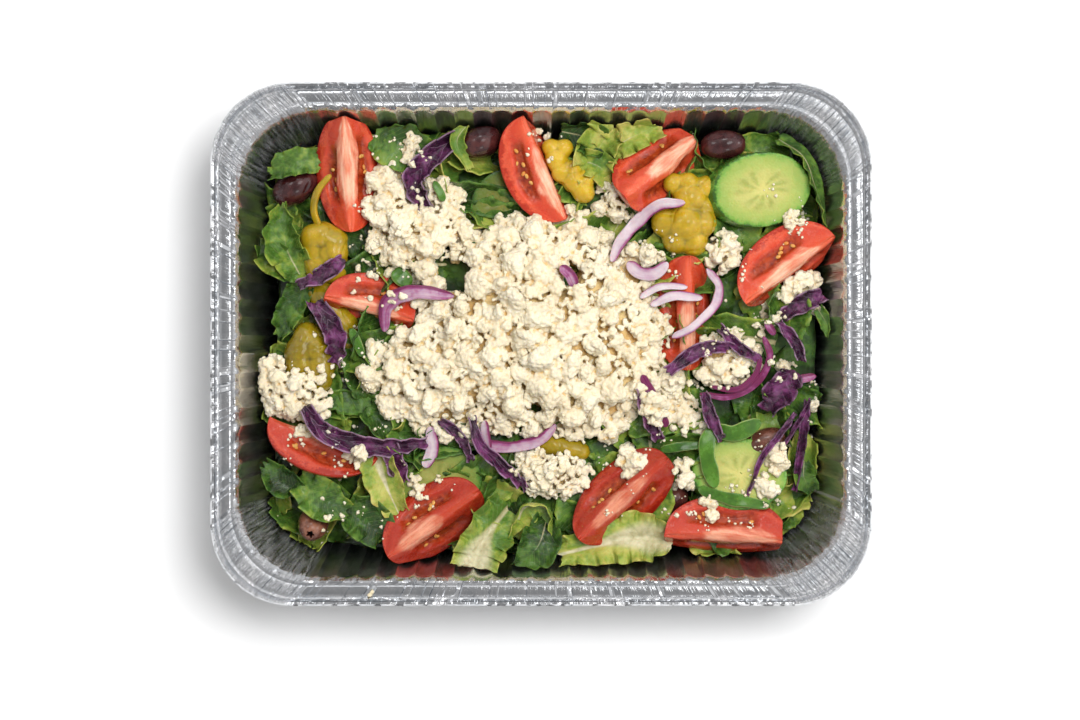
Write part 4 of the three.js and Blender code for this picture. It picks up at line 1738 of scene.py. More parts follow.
    def _sow(self, seeds: Seeds) -> None:
        """Lay seeds in the pockets.

        Args:
            seeds: Where they are added.
        """
        rng = random.Random(self.seed)
        turn = turned(self.yaw, self.rise, self.roll)
        for side in (-1, 1):
            out = Vector((0, side * math.cos(self.slope), math.sin(self.slope)))
            for _ in range(rng.randint(3, 7)):
                share, deep = rng.uniform(-0.5, 0.5), rng.uniform(0.42, 0.62)
                if self._pocket(share, deep, side) < 0.5:
                    continue
                reach = self._reach(share) * deep
                spot = Vector((
                    self.length / 2 * share, side * reach * math.sin(self.slope),
                    -reach * math.cos(self.slope) + self.radius / 2,
                ))
                spot = Vector(self.at) + turn @ (spot - out * (2.0 * self.gel))
                seeds.add(spot, turn @ out, rng.uniform(0, math.tau), (3.0, 2.0, 1.1), rng.uniform(0.0, 0.3))


@dataclass(frozen=True)
class CucumberSlice:
    """A slice of cucumber with three seed lobes."""

    at: Point
    yaw: float
    rise: float
    roll: float
    length: float
    width: float
    thick: float
    bias: float  # how far its rim leans along X, a millimetre of height
    seed: int
    shade: float = 0.0  # how much darker than usual
    steps: ClassVar[tuple[float, ...]] = (
        0, 0.07, 0.13, 0.19, 0.25, 0.31, 0.37, 0.43, 0.49, 0.56, 0.66, 0.78, 0.88, 0.95, 0.985,
    )  # the rings of a cut face, as shares of its radius

    def build(self, seeds: Seeds) -> BMesh:
        """The slice in its place.

        Args:
            seeds: Where its seeds are added.

        Returns:
            The slice.
        """
        skin = [(0.42, 1.0), (0.0, 1.01), (-0.42, 1.0)]
        profile = [(0.5, r) for r in self.steps] + skin + [(-0.5, r) for r in reversed(self.steps)]
        names = ["reach", "cell", "shade"]
        shape = spun(profile, 96, names)
        reach, cell, shade = [shape.verts.layers.float[name] for name in names]
        turn = Matrix.Rotation(math.radians(-90), 3, "Y")
        bmesh.ops.rotate(shape, cent=(0, 0, 0), matrix=turn, verts=shape.verts)
        for vert in shape.verts:
            radius = math.hypot(vert.co.x, vert.co.y)
            pocket = self._pocket(radius, math.atan2(vert.co.y, vert.co.x))
            vert[reach], vert[cell], vert[shade] = radius, pocket, self.shade
            lift = -0.012 * pocket + 0.02 * wobble(vert.co * 20, 4, self.seed)
            if radius < 0.97:
                vert.co.z += math.copysign(lift, vert.co.z)
        bmesh.ops.scale(shape, vec=(self.length / 2, self.width / 2, self.thick), verts=shape.verts)
        for vert in shape.verts:
            vert.co.x += self.bias * vert.co.z + 0.25 * wobble(vert.co, 8, self.seed)
        place(shape, self.at, self.yaw, self.rise, self.roll)
        self._sow(seeds)
        return shape

    def _pocket(self, radius: float, angle: float) -> float:
        """How deep in a seed lobe a point is.

        Args:
            radius: Its share of the way from the middle to the skin.
            angle: Its angle round the middle.

        Returns:
            From 0 outside the lobes to 1 in one.
        """
        lobe = abs(math.sin(1.5 * angle + self.seed))
        ring = smooth_step(0.08, 0.2, radius) * smooth_step(0.62, 0.48, radius)
        seeded = 0.62 + 0.38 * math.cos(11 * angle + 2 * math.sin(angle) + 6 * radius)
        return ring * smooth_step(0.15, 0.75, lobe) * seeded

    def _sow(self, seeds: Seeds) -> None:
        """Lay pale seeds round the middle, each pointing out.

        Args:
            seeds: Where they are added.
        """
        rng = random.Random(self.seed + 40)
        turn = turned(self.yaw, self.rise, self.roll)
        count, top = 13, self.thick / 2 - 0.45
        facing = turn @ UP
        track = facing.to_track_quat("Z", "Y").to_matrix() @ Vector((1, 0, 0))
        for k in range(count):
            angle = k / count * math.tau + rng.uniform(-0.2, 0.2)
            radius = rng.uniform(0.2, 0.44)
            x, y = radius * self.length / 2 * math.cos(angle), radius * self.width / 2 * math.sin(angle)
            out = turn @ Vector((math.cos(angle), math.sin(angle), 0))
            spin = math.atan2(out.y, out.x) - math.atan2(track.y, track.x)
            spot = Vector(self.at) + turn @ Vector((x + self.bias * top, y, top))
            seeds.add(spot, facing, spin, (rng.uniform(3.6, 4.8), 1.9, 0.9), 0.9)


@dataclass(frozen=True)
class Olive:
    """A pitted olive with its pit hole in its +X end."""

    at: Point
    yaw: float
    rise: float
    length: float
    width: float
    seed: int
    tone: float = 0.0  # 0 for purple, 1 for brown
    hole: float = 2.0
    brim: ClassVar[float] = 78.0  # the latitude of the hole's edge, in degrees

    def build(self) -> BMesh:
        """The olive in its place.

        Returns:
            The mesh.
        """
        half, wide = self.length / 2, self.width / 2
        profile = [(-half, 0.0)]
        for k in range(1, 17):
            sweep = math.radians(mix(-90, self.brim, k / 16))
            profile.append((half * math.sin(sweep), wide * math.cos(sweep) ** 0.9))
        edge = half * math.sin(math.radians(self.brim))
        for sunk, share in ((0.2, 1.0), (1.5, 0.8), (3.5, 0.6), (4.0, 0.0)):
            profile.append((edge - sunk, self.hole * share))
        shape = spun(profile, 32, ["pit", "tone"])
        pit, tone = shape.verts.layers.float["pit"], shape.verts.layers.float["tone"]
        for vert in shape.verts:
            vert[tone] = self.tone
            vert[pit] = smooth_step(0.82, 0.9, vert[pit])
            radius = math.hypot(vert.co.y, vert.co.z)
            if vert[pit] > 0 and radius > 0.1:
                points = math.cos(5 * math.atan2(vert.co.z, vert.co.y))
                star = 1 + 0.45 * points * smooth_step(4, 1, radius)
                vert.co.y *= star
                vert.co.z *= star
        push_out(
            shape, lambda vert: 0.45 * wobble(vert.co, 9, self.seed) + 0.12 * wobble(vert.co, 2.5, self.seed)
        )
        place(shape, self.at, self.yaw, self.rise, 0)
        return shape


@dataclass(frozen=True)
class PickledPepper:
    """A pickled pepper made of swollen lobes that run into each other."""

    lobes: tuple[tuple[float, float, float, float], ...]  # middle and radius
    seed: int
    tone: float = 0.6
    rounds: int = 26  # how far its lobes are smoothed together
    voxel: ClassVar[float] = 0.75

    def build(self) -> BMesh:
        """The pepper in its place.

        Returns:
            The mesh.
        """
        shape = bmesh.new()
        for x, y, z, radius in self.lobes:
            middle = Matrix.Translation((x, y, z))
            bmesh.ops.create_icosphere(shape, subdivisions=3, radius=radius, matrix=middle)
        shape = remeshed(shape, self.voxel)
        fold, tone = layers(shape, "fold", "tone")
        for vert, was in zip(shape.verts, smooth(shape, self.rounds)):
            # fold marks where the skin sinks between lobes, for painted shade
            vert[fold] = min(max((vert.co - was).dot(vert.normal) / 0.8, 0), 1)
            vert[tone] = self.tone
        push_out(shape, self._rise)
        return shape

    def _rise(self, vert: BMVert) -> float:
        """How far a point of the skin swells, or sinks into a crease."""
        crease = math.exp(-((wobble(vert.co, 14, self.seed + 5) / 0.05) ** 2))
        return 0.6 + 0.8 * wobble(vert.co, 9, self.seed) - 0.35 * crease


class Cut(Enum):
    """What a strip is cut from: the depth of its flute and its waviness."""

    ONION = (0.3, 0.6)
    GREEN_PEPPER = (0.3, 0.7)
    PICKLED = (0.1, 0.3)


@dataclass(frozen=True)
class Strip:
    """A strip or an arc of vegetable that follows a path."""

    path: tuple[Point, ...]
    width: float
    thick: float
    cut: Cut
    lean: float = 0.0  # degrees that it is turned about its path
    tone: float = 0.2
    seed: int = 1
    taper: float = 0.35

    def build(self) -> BMesh:
        """The strip in its place.

        Returns:
            The mesh.
        """
        shape = bmesh.new()
        names = layers(shape, "side", "along", "tone")
        line = bmesh.ops.create_circle(shape, cap_ends=True, segments=14, radius=1.0)["verts"]
        angles = [math.atan2(vert.co.y, vert.co.x) for vert in line]
        route = Route(self.path)
        steps = max(int(route.length() / 1.6), 8)
        for k in range(steps + 1):
            if k:
                line = next_ring(shape, line)
            self._section(line, angles, route, k / steps, names)
        bmesh.ops.contextual_create(shape, geom=line)
        bmesh.ops.recalc_face_normals(shape, faces=shape.faces)
        return shape

    def _section(
        self, line: Sequence[BMVert], angles: Sequence[float], route: Route, share: float,
        names: Sequence[BMLayerItem],
    ) -> None:
        """Set the points of one section round the path.

        Args:
            line: The section's points.
            angles: Each one's angle round the section.
            route: The path.
            share: The place along it, from 0 to 1.
            names: The layers for side, along and tone.
        """
        side, along, tone = names
        hollow, wave = self.cut.value
        run = share * route.length()
        spot, _, left, up = route.frame(share)
        lean = math.radians(self.lean + 25 * wave * ripple(run / 14, self.seed * 2.1, 0))
        end = abs(2 * share - 1)
        taper = (1 - self.taper * end**2) * (1 - 0.7 * smooth_step(0.9, 1.0, end))
        taper *= 1 + 0.3 * wave * ripple(run / 7, self.seed * 1.3, 9)
        drift = 1.4 * wave * ripple(run / 9, self.seed * 3.7, 4)
        for vert, angle in zip(line, angles):
            wide, tall = math.cos(angle), math.sin(angle)
            across = math.copysign(abs(wide) ** 0.8, wide) * self.width / 2 * taper
            over = math.copysign(abs(tall) ** 0.7, tall) * self.thick / 2 * (0.5 + 0.5 * taper)
            over += hollow * self.thick * (wide * wide - 0.4) + drift
            across += 0.6 * drift
            vert.co = spot + left * (across * math.cos(lean) - over * math.sin(lean))
            vert.co += up * (across * math.sin(lean) + over * math.cos(lean))
            vert[side], vert[along], vert[tone] = wide, run / 10, self.tone


# The darkening of each wedge is painted shade, strongest at the front of the tray where less light falls.
TOMATO_WEDGES = (
    TomatoWedge((-96, 85.7, 43), 93, 8, 3, 58, 23, 1, core=0.46, cored=(-0.9, 1.3)),
    TomatoWedge((-4, 86.7, 44), 113, 12, 30, 56, 22, 2, core=0.34, cored=(-1.3, 0.7)),
    TomatoWedge((56.7, 86.7, 46), 40, -20, 5, 54, 24, 3, 0.86, core=0.4, cored=(-0.6, 1.2)),
    TomatoWedge((120.7, 40.8, 45), 37, 5, 25, 55, 23, 4, core=0.34),
    TomatoWedge((71.3, 16.1, 40), 90, 4, 10, 57, 22, 5, core=0.42, cored=(-1.2, 0.5), ripe=0.15),
    TomatoWedge((-84.2, 20.6, 42), -15, 0, 20, 46, 20, 6, ripe=0.2),
    TomatoWedge((-110.2, -53.7, 40), -18, 0, -65, 58, 21, 7, ripe=0.45),
    TomatoWedge((-53.7, -87.5, 43), 36, 0, 8, 56, 24, 8, core=0.42, cored=(-1.0, 0.4), ripe=0.65),
    TomatoWedge((41.2, -75.4, 45), 43, 5, 0, 60, 24, 9, core=0.3, cored=(-1.0, 0.8), ripe=0.75),
    TomatoWedge((91.8, -91.6, 41), -3, 0, 26, 62, 23, 10, 0.9, core=0.42, cored=(-0.6, 1.1), ripe=0.5),
)

CUCUMBER_SLICES = (
    CucumberSlice((107.2, 76.5, 47), 8, -4, 6, 49, 37, 7, 0.6, 1),
    CucumberSlice((97.6, -64.6, 42), -4, 3, -4, 47, 36, 7, 0.4, 2),
    CucumberSlice((-50.5, -68.8, 38), 20, 4, 5, 42, 36, 6, 0.2, 3, 0.5),
    CucumberSlice((-20.5, 69.6, 35), 60, 0, 8, 36, 30, 7, 0.3, 4, 0.9),
    CucumberSlice((-87.7, 88.4, 31), 10, 0, 0, 34, 32, 6, 0.0, 5, 0.3),
)

OLIVES = (
    Olive((-122.9, 78.6, 37), 35, 5, 25, 17, 1),
    Olive((-29.9, 100.7, 42), 205, 5, 21, 16.5, 2),
    Olive((90.7, 99.3, 42), 3, 5, 23, 15, 3),
    Olive((-113.9, -89.8, 36), -100, 62, 21, 15.5, 4, 1.0),
    Olive((111.9, -48.8, 40), 20, 0, 21, 14, 5, 0.6),
    Olive((65.7, -78, 33), 60, 0, 19, 15, 6, 0.1),
    Olive((54, -92, 31), 15, 0, 20, 14.5, 7, 0.2),
)

PICKLED_PEPPERS = (
    PickledPepper(
        (
            (4.8, 98, 45, 4.5), (11.4, 97.5, 45, 4.5), (7.5, 91.5, 45, 5.5), (10, 85.5, 44.5, 5.5),
            (15, 87, 45, 4.5), (16.5, 80.5, 45, 5.5), (22.5, 82, 44.5, 4.5), (21, 75.5, 44.5, 5.5),
        ),
        1, 0.72, 14,
    ),
    PickledPepper(
        (
            (65.8, 79.5, 46, 5), (73, 80.5, 47, 5), (81.5, 78, 45, 5.5), (73.5, 72, 46, 8), (81, 68, 45, 5.5),
            (62, 60.5, 45, 7), (71.5, 60, 46, 9), (81, 60.5, 45, 6.5), (67.5, 52, 44, 7), (75.5, 51, 44, 7),
        ),
        2, 0.6, 16,
    ),
    PickledPepper(
        (
            (-113, 53, 43, 7), (-108, 54, 43.5, 7), (-103, 51, 43, 7), (-113, 46, 42, 7), (-104, 45, 42, 8),
            (-110, 39, 41, 8), (-104, 37, 40, 7),
        ),
        3, 0.5,
    ),
    PickledPepper(
        (
            (-116, 3, 38, 8), (-119, -4, 38, 9), (-112, -3, 39, 8), (-119, -11, 38, 9), (-111, -10, 38, 8.5),
            (-118, -18, 37, 8), (-112, -17, 37, 8),
        ),
        4, 0.32,
    ),
    PickledPepper(
        ((-110, 26, 36, 7), (-107, 21, 36, 8), (-103, 16, 36, 8), (-99, 10, 35, 8), (-96, 4, 34, 7)), 5, 0.38,
    ),
    PickledPepper(
        ((0, -49, 38, 4.5), (5, -50, 38, 5.5), (10, -51, 38, 5.5), (15, -52, 38, 5.5), (20, -53, 38, 4.5)), 6,
        0.4,
    ),
)

ONION, GREEN, PICKLED = Cut.ONION, Cut.GREEN_PEPPER, Cut.PICKLED

RED_ONIONS = (
    Strip(
        ((71.1, 69.7, 57), (58.8, 68.7, 55), (48.9, 61.3, 51), (40, 51.4, 51), (34.6, 40.6, 51)), 6.5, 3.5,
        ONION, 0, 0.1, 1,
    ),
    Strip(
        ((81.8, 37.5, 53), (88.2, 29.1, 50), (85.7, 19.3, 51), (75.9, 9.4, 54), (64.5, 3, 54)), 5, 4, ONION, 0,
        0.15, 2,
    ),
    Strip(((48.8, 22.8, 52), (58.7, 28.2, 53), (72.5, 28.2, 54)), 4, 3, ONION, 0, 0.0, 3),
    Strip(((53.8, 19.3, 53), (66.1, 23.7, 54), (79.9, 22.8, 53)), 5, 3, ONION, 0, 0.0, 4),
    Strip(
        ((-77.7, 6, 49), (-75.7, 19.9, 53), (-63.8, 25.3, 55), (-42.6, 23.8, 54)), 9, 3.5, ONION, 0, 0.4, 5,
        0.6,
    ),
    Strip(((-55.1, -40.6, 46), (-54.1, -52.5, 45), (-58, -61.4, 44)), 7, 3, ONION, 0, 0.1, 6),
    Strip(
        ((-28.2, -38.6, 46), (-26.8, -49, 44), (-14.4, -51, 43.5), (-0.5, -47.5, 45), (7.4, -39.6, 47)), 6, 4,
        ONION, 0, 0.3, 7,
    ),
    Strip(
        ((78.6, -24.6, 44.5), (94.4, -26.1, 45), (108.2, -17.7, 46.5), (113.2, -5.4, 48), (110.2, 4, 47)), 4,
        3.5, ONION, 0, 0.6, 8,
    ),
    Strip(((123.2, -18.7, 43), (137.1, -15.7, 42)), 4.5, 3, ONION, 0, 0.5, 9),
)

LOOSE_ONIONS = (
    Strip(((42.5, 40.6, 51), (49, 35.2, 50), (56.4, 35.0, 50), (62.8, 40.6, 51)), 7, 3.5, ONION, 0, 0.15, 10),
    Strip(((9.4, 38.5, 61), (14, 34, 60), (16.8, 27.7, 58)), 6, 3, ONION, 0, 0.45, 11),
    Strip(((110.9, 12, 50), (113.3, 8, 50), (115.9, 4.6, 49)), 4, 2.5, ONION, 0, 0.5, 12),
    Strip(((-27.7, -37.5, 50), (-27.2, -46, 49), (-25.3, -52.4, 48)), 5, 3, ONION, 30, 0.1, 13),
    Strip(((50, -15, 52), (56, -28, 51), (62.5, -41, 50)), 6, 3, ONION, 10, 0.75, 14),
    Strip(((84, -21, 47), (97, -22.5, 48), (106, -15, 49), (109, -6, 50)), 3, 2.5, ONION, 0, 0.8, 15),
)


def shred(
    path: tuple[Point, ...], width: float, fold: float, frill: float, veins: float, edge: float, seed: int
) -> Leaf:
    """A shred of red cabbage: a narrow crinkled leaf.

    Args:
        path: The line of its middle.
        width: How wide it is.
        fold: Degrees that each half is bent up.
        frill: How far its edges wave.
        veins: How pale its veins are, from 0 to 1.
        edge: How pale its cut edges are, from 0 to 1.
        seed: Which random waves and tears it has.

    Returns:
        The shred, as a leaf.
    """
    return Leaf(path, width, edge, veins, (-15, 25), fold, frill * 1.5, (0.7, 0.6), 1.9, seed, (10, 44))


RED_CABBAGE = (
    shred(((-42, 104, 42), (-55.9, 91.2, 46), (-61.9, 80.3, 46), (-54.9, 67.4, 47)), 14, 60, 2.2, 0.4, 0.6, 101),
    shred(((-113, 21, 45), (-105.1, 11, 47), (-100.6, 0.1, 46), (-101.6, -9.8, 44)), 12, 35, 2.0, 0.4, 0.5, 102),
    shred(((-97.8, 42.6, 49), (-106.7, 35.2, 49), (-120.1, 28.7, 45)), 9, 30, 1.2, 0.3, 0.6, 103),
    shred(
        ((-117.3, -31.1, 50), (-108.4, -42.5, 53), (-93.5, -48.4, 53), (-74.7, -50.4, 50), (-56.4, -47.9, 48)),
        11, 45, 1.6, 0.7, 0.7, 104,
    ),
    shred(((140, 25.3, 45), (131.2, 20.9, 46), (119.8, 13, 45)), 10, 30, 1.6, 0.4, 0.6, 105),
    shred(((132.1, -27.7, 44), (130.5, -47.5, 40), (127.5, -73.4, 35)), 5, 50, 1.0, 0.1, 0.1, 106),
    shred(((48.9, -21.7, 52), (53.9, -35.5, 51), (59.3, -47.3, 51)), 9, 35, 1.4, 0.3, 0.5, 107),
    shred(((124.4, -12.8, 45), (119.5, -22.7, 44), (113.5, -33.6, 43)), 17, 40, 2.0, 0.4, 0.3, 108),
)

LOOSE_CABBAGE = (
    shred(((-75.5, -50, 46), (-72, -58.5, 48), (-67.2, -68.1, 48)), 11, 30, 1.8, 0.5, 0.7, 109),
    shred(
        ((-34.7, -36.1, 50), (-30.3, -50, 49), (-21.8, -57.5, 49), (-12.4, -66.1, 48), (-7, -71.1, 46)), 7, 50,
        1.4, 0.6, 0.6, 110,
    ),
    shred(((126, -34, 50), (117, -46, 51), (109.6, -56, 51), (102.2, -74.8, 51)), 3.4, 50, 0.6, 0.1, 0.2, 111),
    shred(((133, -27.8, 49), (128, -38, 48), (119, -52, 50)), 2.6, 50, 0.5, 0.1, 0.1, 112),
    shred(((80.2, -24.1, 52), (83.6, -35, 53), (89.7, -47, 51)), 7, 40, 1.2, 0.3, 0.5, 113),
    shred(((62.5, -14, 55), (78.4, -2.9, 56), (94.9, -0.4, 51)), 8, 40, 1.4, 0.5, 0.6, 114),
    shred(((117, 11, 50), (125.8, 0.6, 52), (129.9, -8.8, 50)), 6, 40, 1.6, 0.5, 0.7, 115),
    shred(((-36, 34, 48), (-30, 28, 50), (-22, 24, 50)), 11, 30, 1.6, 0.3, 0.4, 116),
    shred(((-50, -38, 49), (-40, -46, 48), (-34, -58, 47)), 6, 40, 1.2, 0.4, 0.5, 117),
    shred(((88, 8, 52), (97, -1, 53), (108, -7, 51)), 6, 40, 1.4, 0.4, 0.6, 118),
)

GREEN_PEPPERS = (
    Strip(((85.1, -39.5, 47), (82.2, -52.4, 49), (86.6, -71.2, 49)), 9, 4, GREEN, 0, 0.2, 1),
    Strip(((77.9, -71.3, 46), (94.8, -76.8, 49), (113.6, -80.3, 48)), 6.5, 4, GREEN, 0, 0.1, 2),
    Strip(((-73, 37, 46), (-69, 33, 47), (-64.5, 29.5, 46)), 9, 4, GREEN, 0, 0.1, 3),
)

LOOSE_GREENS = (
    Strip(((-53.1, 81, 48), (-50.1, 75.6, 48), (-48.7, 70.7, 47)), 4.5, 3, GREEN, 0, 0.1, 4),
    Strip(((-94, 8.1, 46), (-91.5, 1.1, 46), (-88.6, -6.3, 45)), 5.5, 3, GREEN, 0, 0.05, 5),
    Strip(((58.9, -52.4, 48), (68.8, -50.9, 48), (79.7, -49.9, 47)), 5, 2.5, GREEN, 0, 0.0, 6),
    Strip(((86, -42, 47), (96, -44, 48), (109, -38, 48)), 9, 3, GREEN, 10, 0.1, 7),
)

PEPPER_RING = Strip(
    ((-103.7, 83.9, 52), (-110.6, 75.5, 50), (-112.6, 65.6, 47), (-108.6, 55.7, 46)), 4, 3, PICKLED, 30, 0.5, 1,
)


@dataclass(frozen=True)
class Vegetables:
    """All the cut vegetables, each in the place of its CAD node."""

    tomatoes: tuple[TomatoWedge, ...] = TOMATO_WEDGES
    cucumbers: tuple[CucumberSlice, ...] = CUCUMBER_SLICES
    olives: tuple[Olive, ...] = OLIVES
    pickled: tuple[PickledPepper, ...] = PICKLED_PEPPERS
    ring: Strip = PEPPER_RING
    shred: float = 0.9  # how thick a shred of cabbage is

    def build(self, table: Table, seeds: Seeds) -> None:
        """Make every topping and the strips between them.

        Args:
            table: What they are laid on.
            seeds: Where their seeds are added.
        """
        tomato = [TomatoFleshFinish().material(), TomatoSkinFinish().material()]
        cucumber, olive = [CucumberFinish().material()], [OliveFinish().material()]
        pickled = [PickledPepperFinish().material()]
        for index, wedge in enumerate(self.tomatoes, 1):
            self._top(table, wedge.build(seeds), f"tomato_wedge_{index}", tomato, Slot.TOMATO, 1)
        for index, piece in enumerate(self.cucumbers, 1):
            self._top(table, piece.build(seeds), f"cucumber_slice_{index}", cucumber, Slot.CUCUMBER, 0)
        for index, piece in enumerate(self.olives, 1):
            self._top(table, piece.build(), f"olive_{index}", olive, Slot.OLIVE, 1)
        for index, piece in enumerate(self.pickled, 1):
            self._top(table, piece.build(), f"pickled_pepper_{index}", pickled, Slot.PICKLED_PEPPER, 0)
        self._top(table, self.ring.build(), "pepper_ring", pickled, Slot.PICKLED_PEPPER, 1)
        kinds = (
            (Slot.RED_ONION, RED_ONIONS, LOOSE_ONIONS, OnionFinish(), 0.0),
            (Slot.RED_CABBAGE, RED_CABBAGE, LOOSE_CABBAGE, CabbageFinish(), self.shred),
            (Slot.GREEN_PEPPER, GREEN_PEPPERS, LOOSE_GREENS, GreenPepperFinish(), 0.0),
        )
        for slot, shown, loose, finish, thick in kinds:
            dress = [finish.material()]
            for index, strip in enumerate(shown, 1):
                self._top(table, strip.build(), f"{slot.value}_{index}", dress, slot, 1, thick)
            for index, strip in enumerate(loose, 1):
                name = f"{slot.value}_loose_{index}"
                table.serve(strip.build(), name, dress, slot, topping=True, rounds=1, thick=thick)

    @staticmethod
    def _top(
        table: Table, shape: BMesh, name: str, finishes: Sequence[Material], slot: Slot, rounds: int,
        thick: float = 0.0,
    ) -> None:
        """Finish a topping that stands for the CAD node of its name."""
        table.serve(shape, f"{name}_real", finishes, slot, [name], topping=True, rounds=rounds, thick=thick)


# ---- Crumbled cheese ----------------------------------------------------------------------


def knob(spot: Vector, size: float) -> float:
    """How far a point stands out on a surface of packed round grains: from -0.5 to 0.5."""
    return 0.5 - min((noise.voronoi(spot / size)[0][0] / 0.75) ** 2, 1.0)


def curdle(shape: BMesh, seed: float) -> None:
    """Roughen a mesh into crumbled curd, and mark its hollows for painted shade.

    Args:
        shape: A closed mesh with faces well under a millimetre.
        seed: Which grains.
    """
    (hollow,) = layers(shape, "hollow")
    offset = Vector((seed * 13.1, seed * 7.7, seed * 3.3))
    push_out(shape, lambda vert: 0.9 * knob(vert.co + offset, 2.1) + 0.35 * knob(vert.co + offset, 1.2))
    for vert, was in zip(shape.verts, smooth(shape, 20)):
        vert[hollow] = min(max(0.5 + (vert.co - was).dot(vert.normal) / 1.8, 0), 1)
        vert.co = was


def cut_off(shape: BMesh, at: Vector, facing: Vector) -> None:
    """Cut away what lies past a plane through a point, and leave the cut open."""
    bmesh.ops.bisect_plane(shape, geom=everything(shape), plane_co=at, plane_no=facing, clear_outer=True)


@dataclass(frozen=True)
class Crumb:
    """One lump of cheese."""

    spot: Vector
    size: float
    seed: int

    def add_to(self, shape: BMesh) -> None:
        """Add the lump to a shape, in finer faces where it is large.

        Args:
            shape: The shape.
        """
        rng = random.Random(self.seed)
        turn = Euler((rng.uniform(0, 6), rng.uniform(0, 6), rng.uniform(0, 6))).to_matrix().to_4x4()
        squash = Matrix.Diagonal((rng.uniform(0.85, 1.35), rng.uniform(0.7, 1.1), rng.uniform(0.65, 1.0), 1))
        made = bmesh.ops.create_icosphere(
            shape, subdivisions=3 if self.size > 5.0 else 2, radius=self.size / 2,
            matrix=Matrix.Translation(self.spot) @ turn @ squash,
        )
        drift = Vector((self.seed % 97, self.seed % 53, 0))
        for vert in made["verts"]:
            out = vert.co - self.spot
            rough = 0.7 * noise.noise(out / self.size * 1.7 + drift)
            rough += 0.3 * knob(out + drift * 3, self.size * 0.45)
            vert.co = self.spot + out * (1 + rough)


@dataclass(frozen=True)
class CheesePile:
    """A heap of crumbs over the drawn-in core of its CAD node."""

    node: str
    crumbs: int
    large: float = 9.0
    parts: int = 1
    seed: int = 1
    small: float = 2.8
    voxel: float = 0.57
    gaps: tuple[Point, ...] = ()  # where the heap opens: x, y and reach
    sink: float = 4.6  # how far the core lies under the CAD node's skin

    def _gap(self, spot: Vector) -> float:
        """How far a spot is in one of the gaps, from 0 to 1."""
        shares = [((spot.x - x) ** 2 + (spot.y - y) ** 2) / reach**2 for x, y, reach in self.gaps]
        return max((math.exp(-(share**2)) for share in shares), default=0.0)

    def crumb_list(self, table: Table, core: BMesh) -> list[Crumb]:
        """Crumbs over a core's top, clear of the toppings.

        Args:
            table: Knows where the toppings lie.
            core: The heap's outline.

        Returns:
            The crumbs, many small ones among a few large ones.
        """
        tree = BVHTree.FromBMesh(core)
        low_x, high_x, low_y, high_y = [
            end(vert.co[axis] for vert in core.verts) for axis in (0, 1) for end in (min, max)
        ]
        rng = random.Random(self.seed)
        sizes = [mix(self.small, self.large, rng.random() ** 5.0) for _ in range(self.crumbs * 4)]
        crumbs: list[Crumb] = []
        for size in sorted(sizes, reverse=True):
            x, y = rng.uniform(low_x, high_x), rng.uniform(low_y, high_y)
            spot, normal, _, _ = tree.ray_cast(Vector((x, y, SKY)), DOWN)
            if spot is None or self._gap(spot) > 0.3:
                continue
            spot = TRAY.keep_inside(spot + normal * size * rng.uniform(-0.34, 0.1), 2 + size / 2)
            room = all((other.spot - spot).length > 0.34 * (other.size + size) for other in crumbs)
            if room and table.clear_of_toppings(spot, size * 0.35):
                crumbs.append(Crumb(spot, size, rng.randint(1, 99999)))
        return crumbs

    @staticmethod
    def _deepen(shape: BMesh, outside: BVHTree) -> None:
        """Mark as hollow, for painted shade, what lies well inside the heap's outline.

        Args:
            shape: The heap.
            outside: Its outline.
        """
        hollow = shape.verts.layers.float["hollow"]
        for vert in shape.verts:
            near, normal, _, away = outside.find_nearest(vert.co)
            if (vert.co - near).dot(normal) < 0:
                vert[hollow] = max(vert[hollow], 0.5 + 0.5 * smooth_step(1.2, 4.2, away))

    def _part(self, core: BMesh, crumbs: Sequence[Crumb], low: bool, high: bool) -> BMesh:
        """One part of the pile, from one end of its crumbs to the other.

        Args:
            core: The whole pile's core.
            crumbs: The part's crumbs, by their place along X.
            low: Whether there is another part before it.
            high: Whether there is another part after it.

        Returns:
            The part's skin.
        """
        shape = core.copy()
        for cut, crumb, side in ((low, crumbs[0], -1), (high, crumbs[-1], 1)):
            if cut:
                cut_off(shape, crumb.spot + Vector((side, 0, 0)), Vector((side, 0, 0)))
                bmesh.ops.holes_fill(shape, edges=borders(shape), sides=0)
        for crumb in crumbs:
            crumb.add_to(shape)
        return remeshed(shape, self.voxel)

    def build(self, table: Table, finish: Material) -> None:
        """Make the pile, side by side in parts where it is large.

        Args:
            table: What it is laid on.
            finish: Its material.
        """
        core = copy_of(self.node)
        crumbs = sorted(self.crumb_list(table, core), key=lambda crumb: crumb.spot.x)
        floor = min(vert.co.z for vert in core.verts) + 1.2
        outside = BVHTree.FromBMesh(core)
        push_out(core, lambda vert: -self.sink if vert.normal.z > -0.3 else 0.0)
        bmesh.ops.subdivide_edges(core, edges=core.edges, cuts=2, use_grid_fill=True)
        for vert in core.verts:
            vert.co.z = max(vert.co.z - 30 * self._gap(vert.co), floor - 3)
        share = math.ceil(len(crumbs) / self.parts)
        shapes = []
        for part in range(self.parts):
            mine = crumbs[part * share : (part + 1) * share]
            shape = self._part(core, mine, part > 0, part < self.parts - 1)
            curdle(shape, self.seed)
            self._deepen(shape, outside)
            cut_off(shape, Vector((0, 0, floor)), DOWN)
            bmesh.ops.triangle_fill(shape, edges=borders(shape), use_beauty=False)
            bmesh.ops.recalc_face_normals(shape, faces=shape.faces)
            shapes.append(shape)
        core.free()
        for index, shape in enumerate(shapes, 1):
            table.serve(shape, f"{self.node}_pile_{index}", [finish], Slot.CHEESE, [self.node])


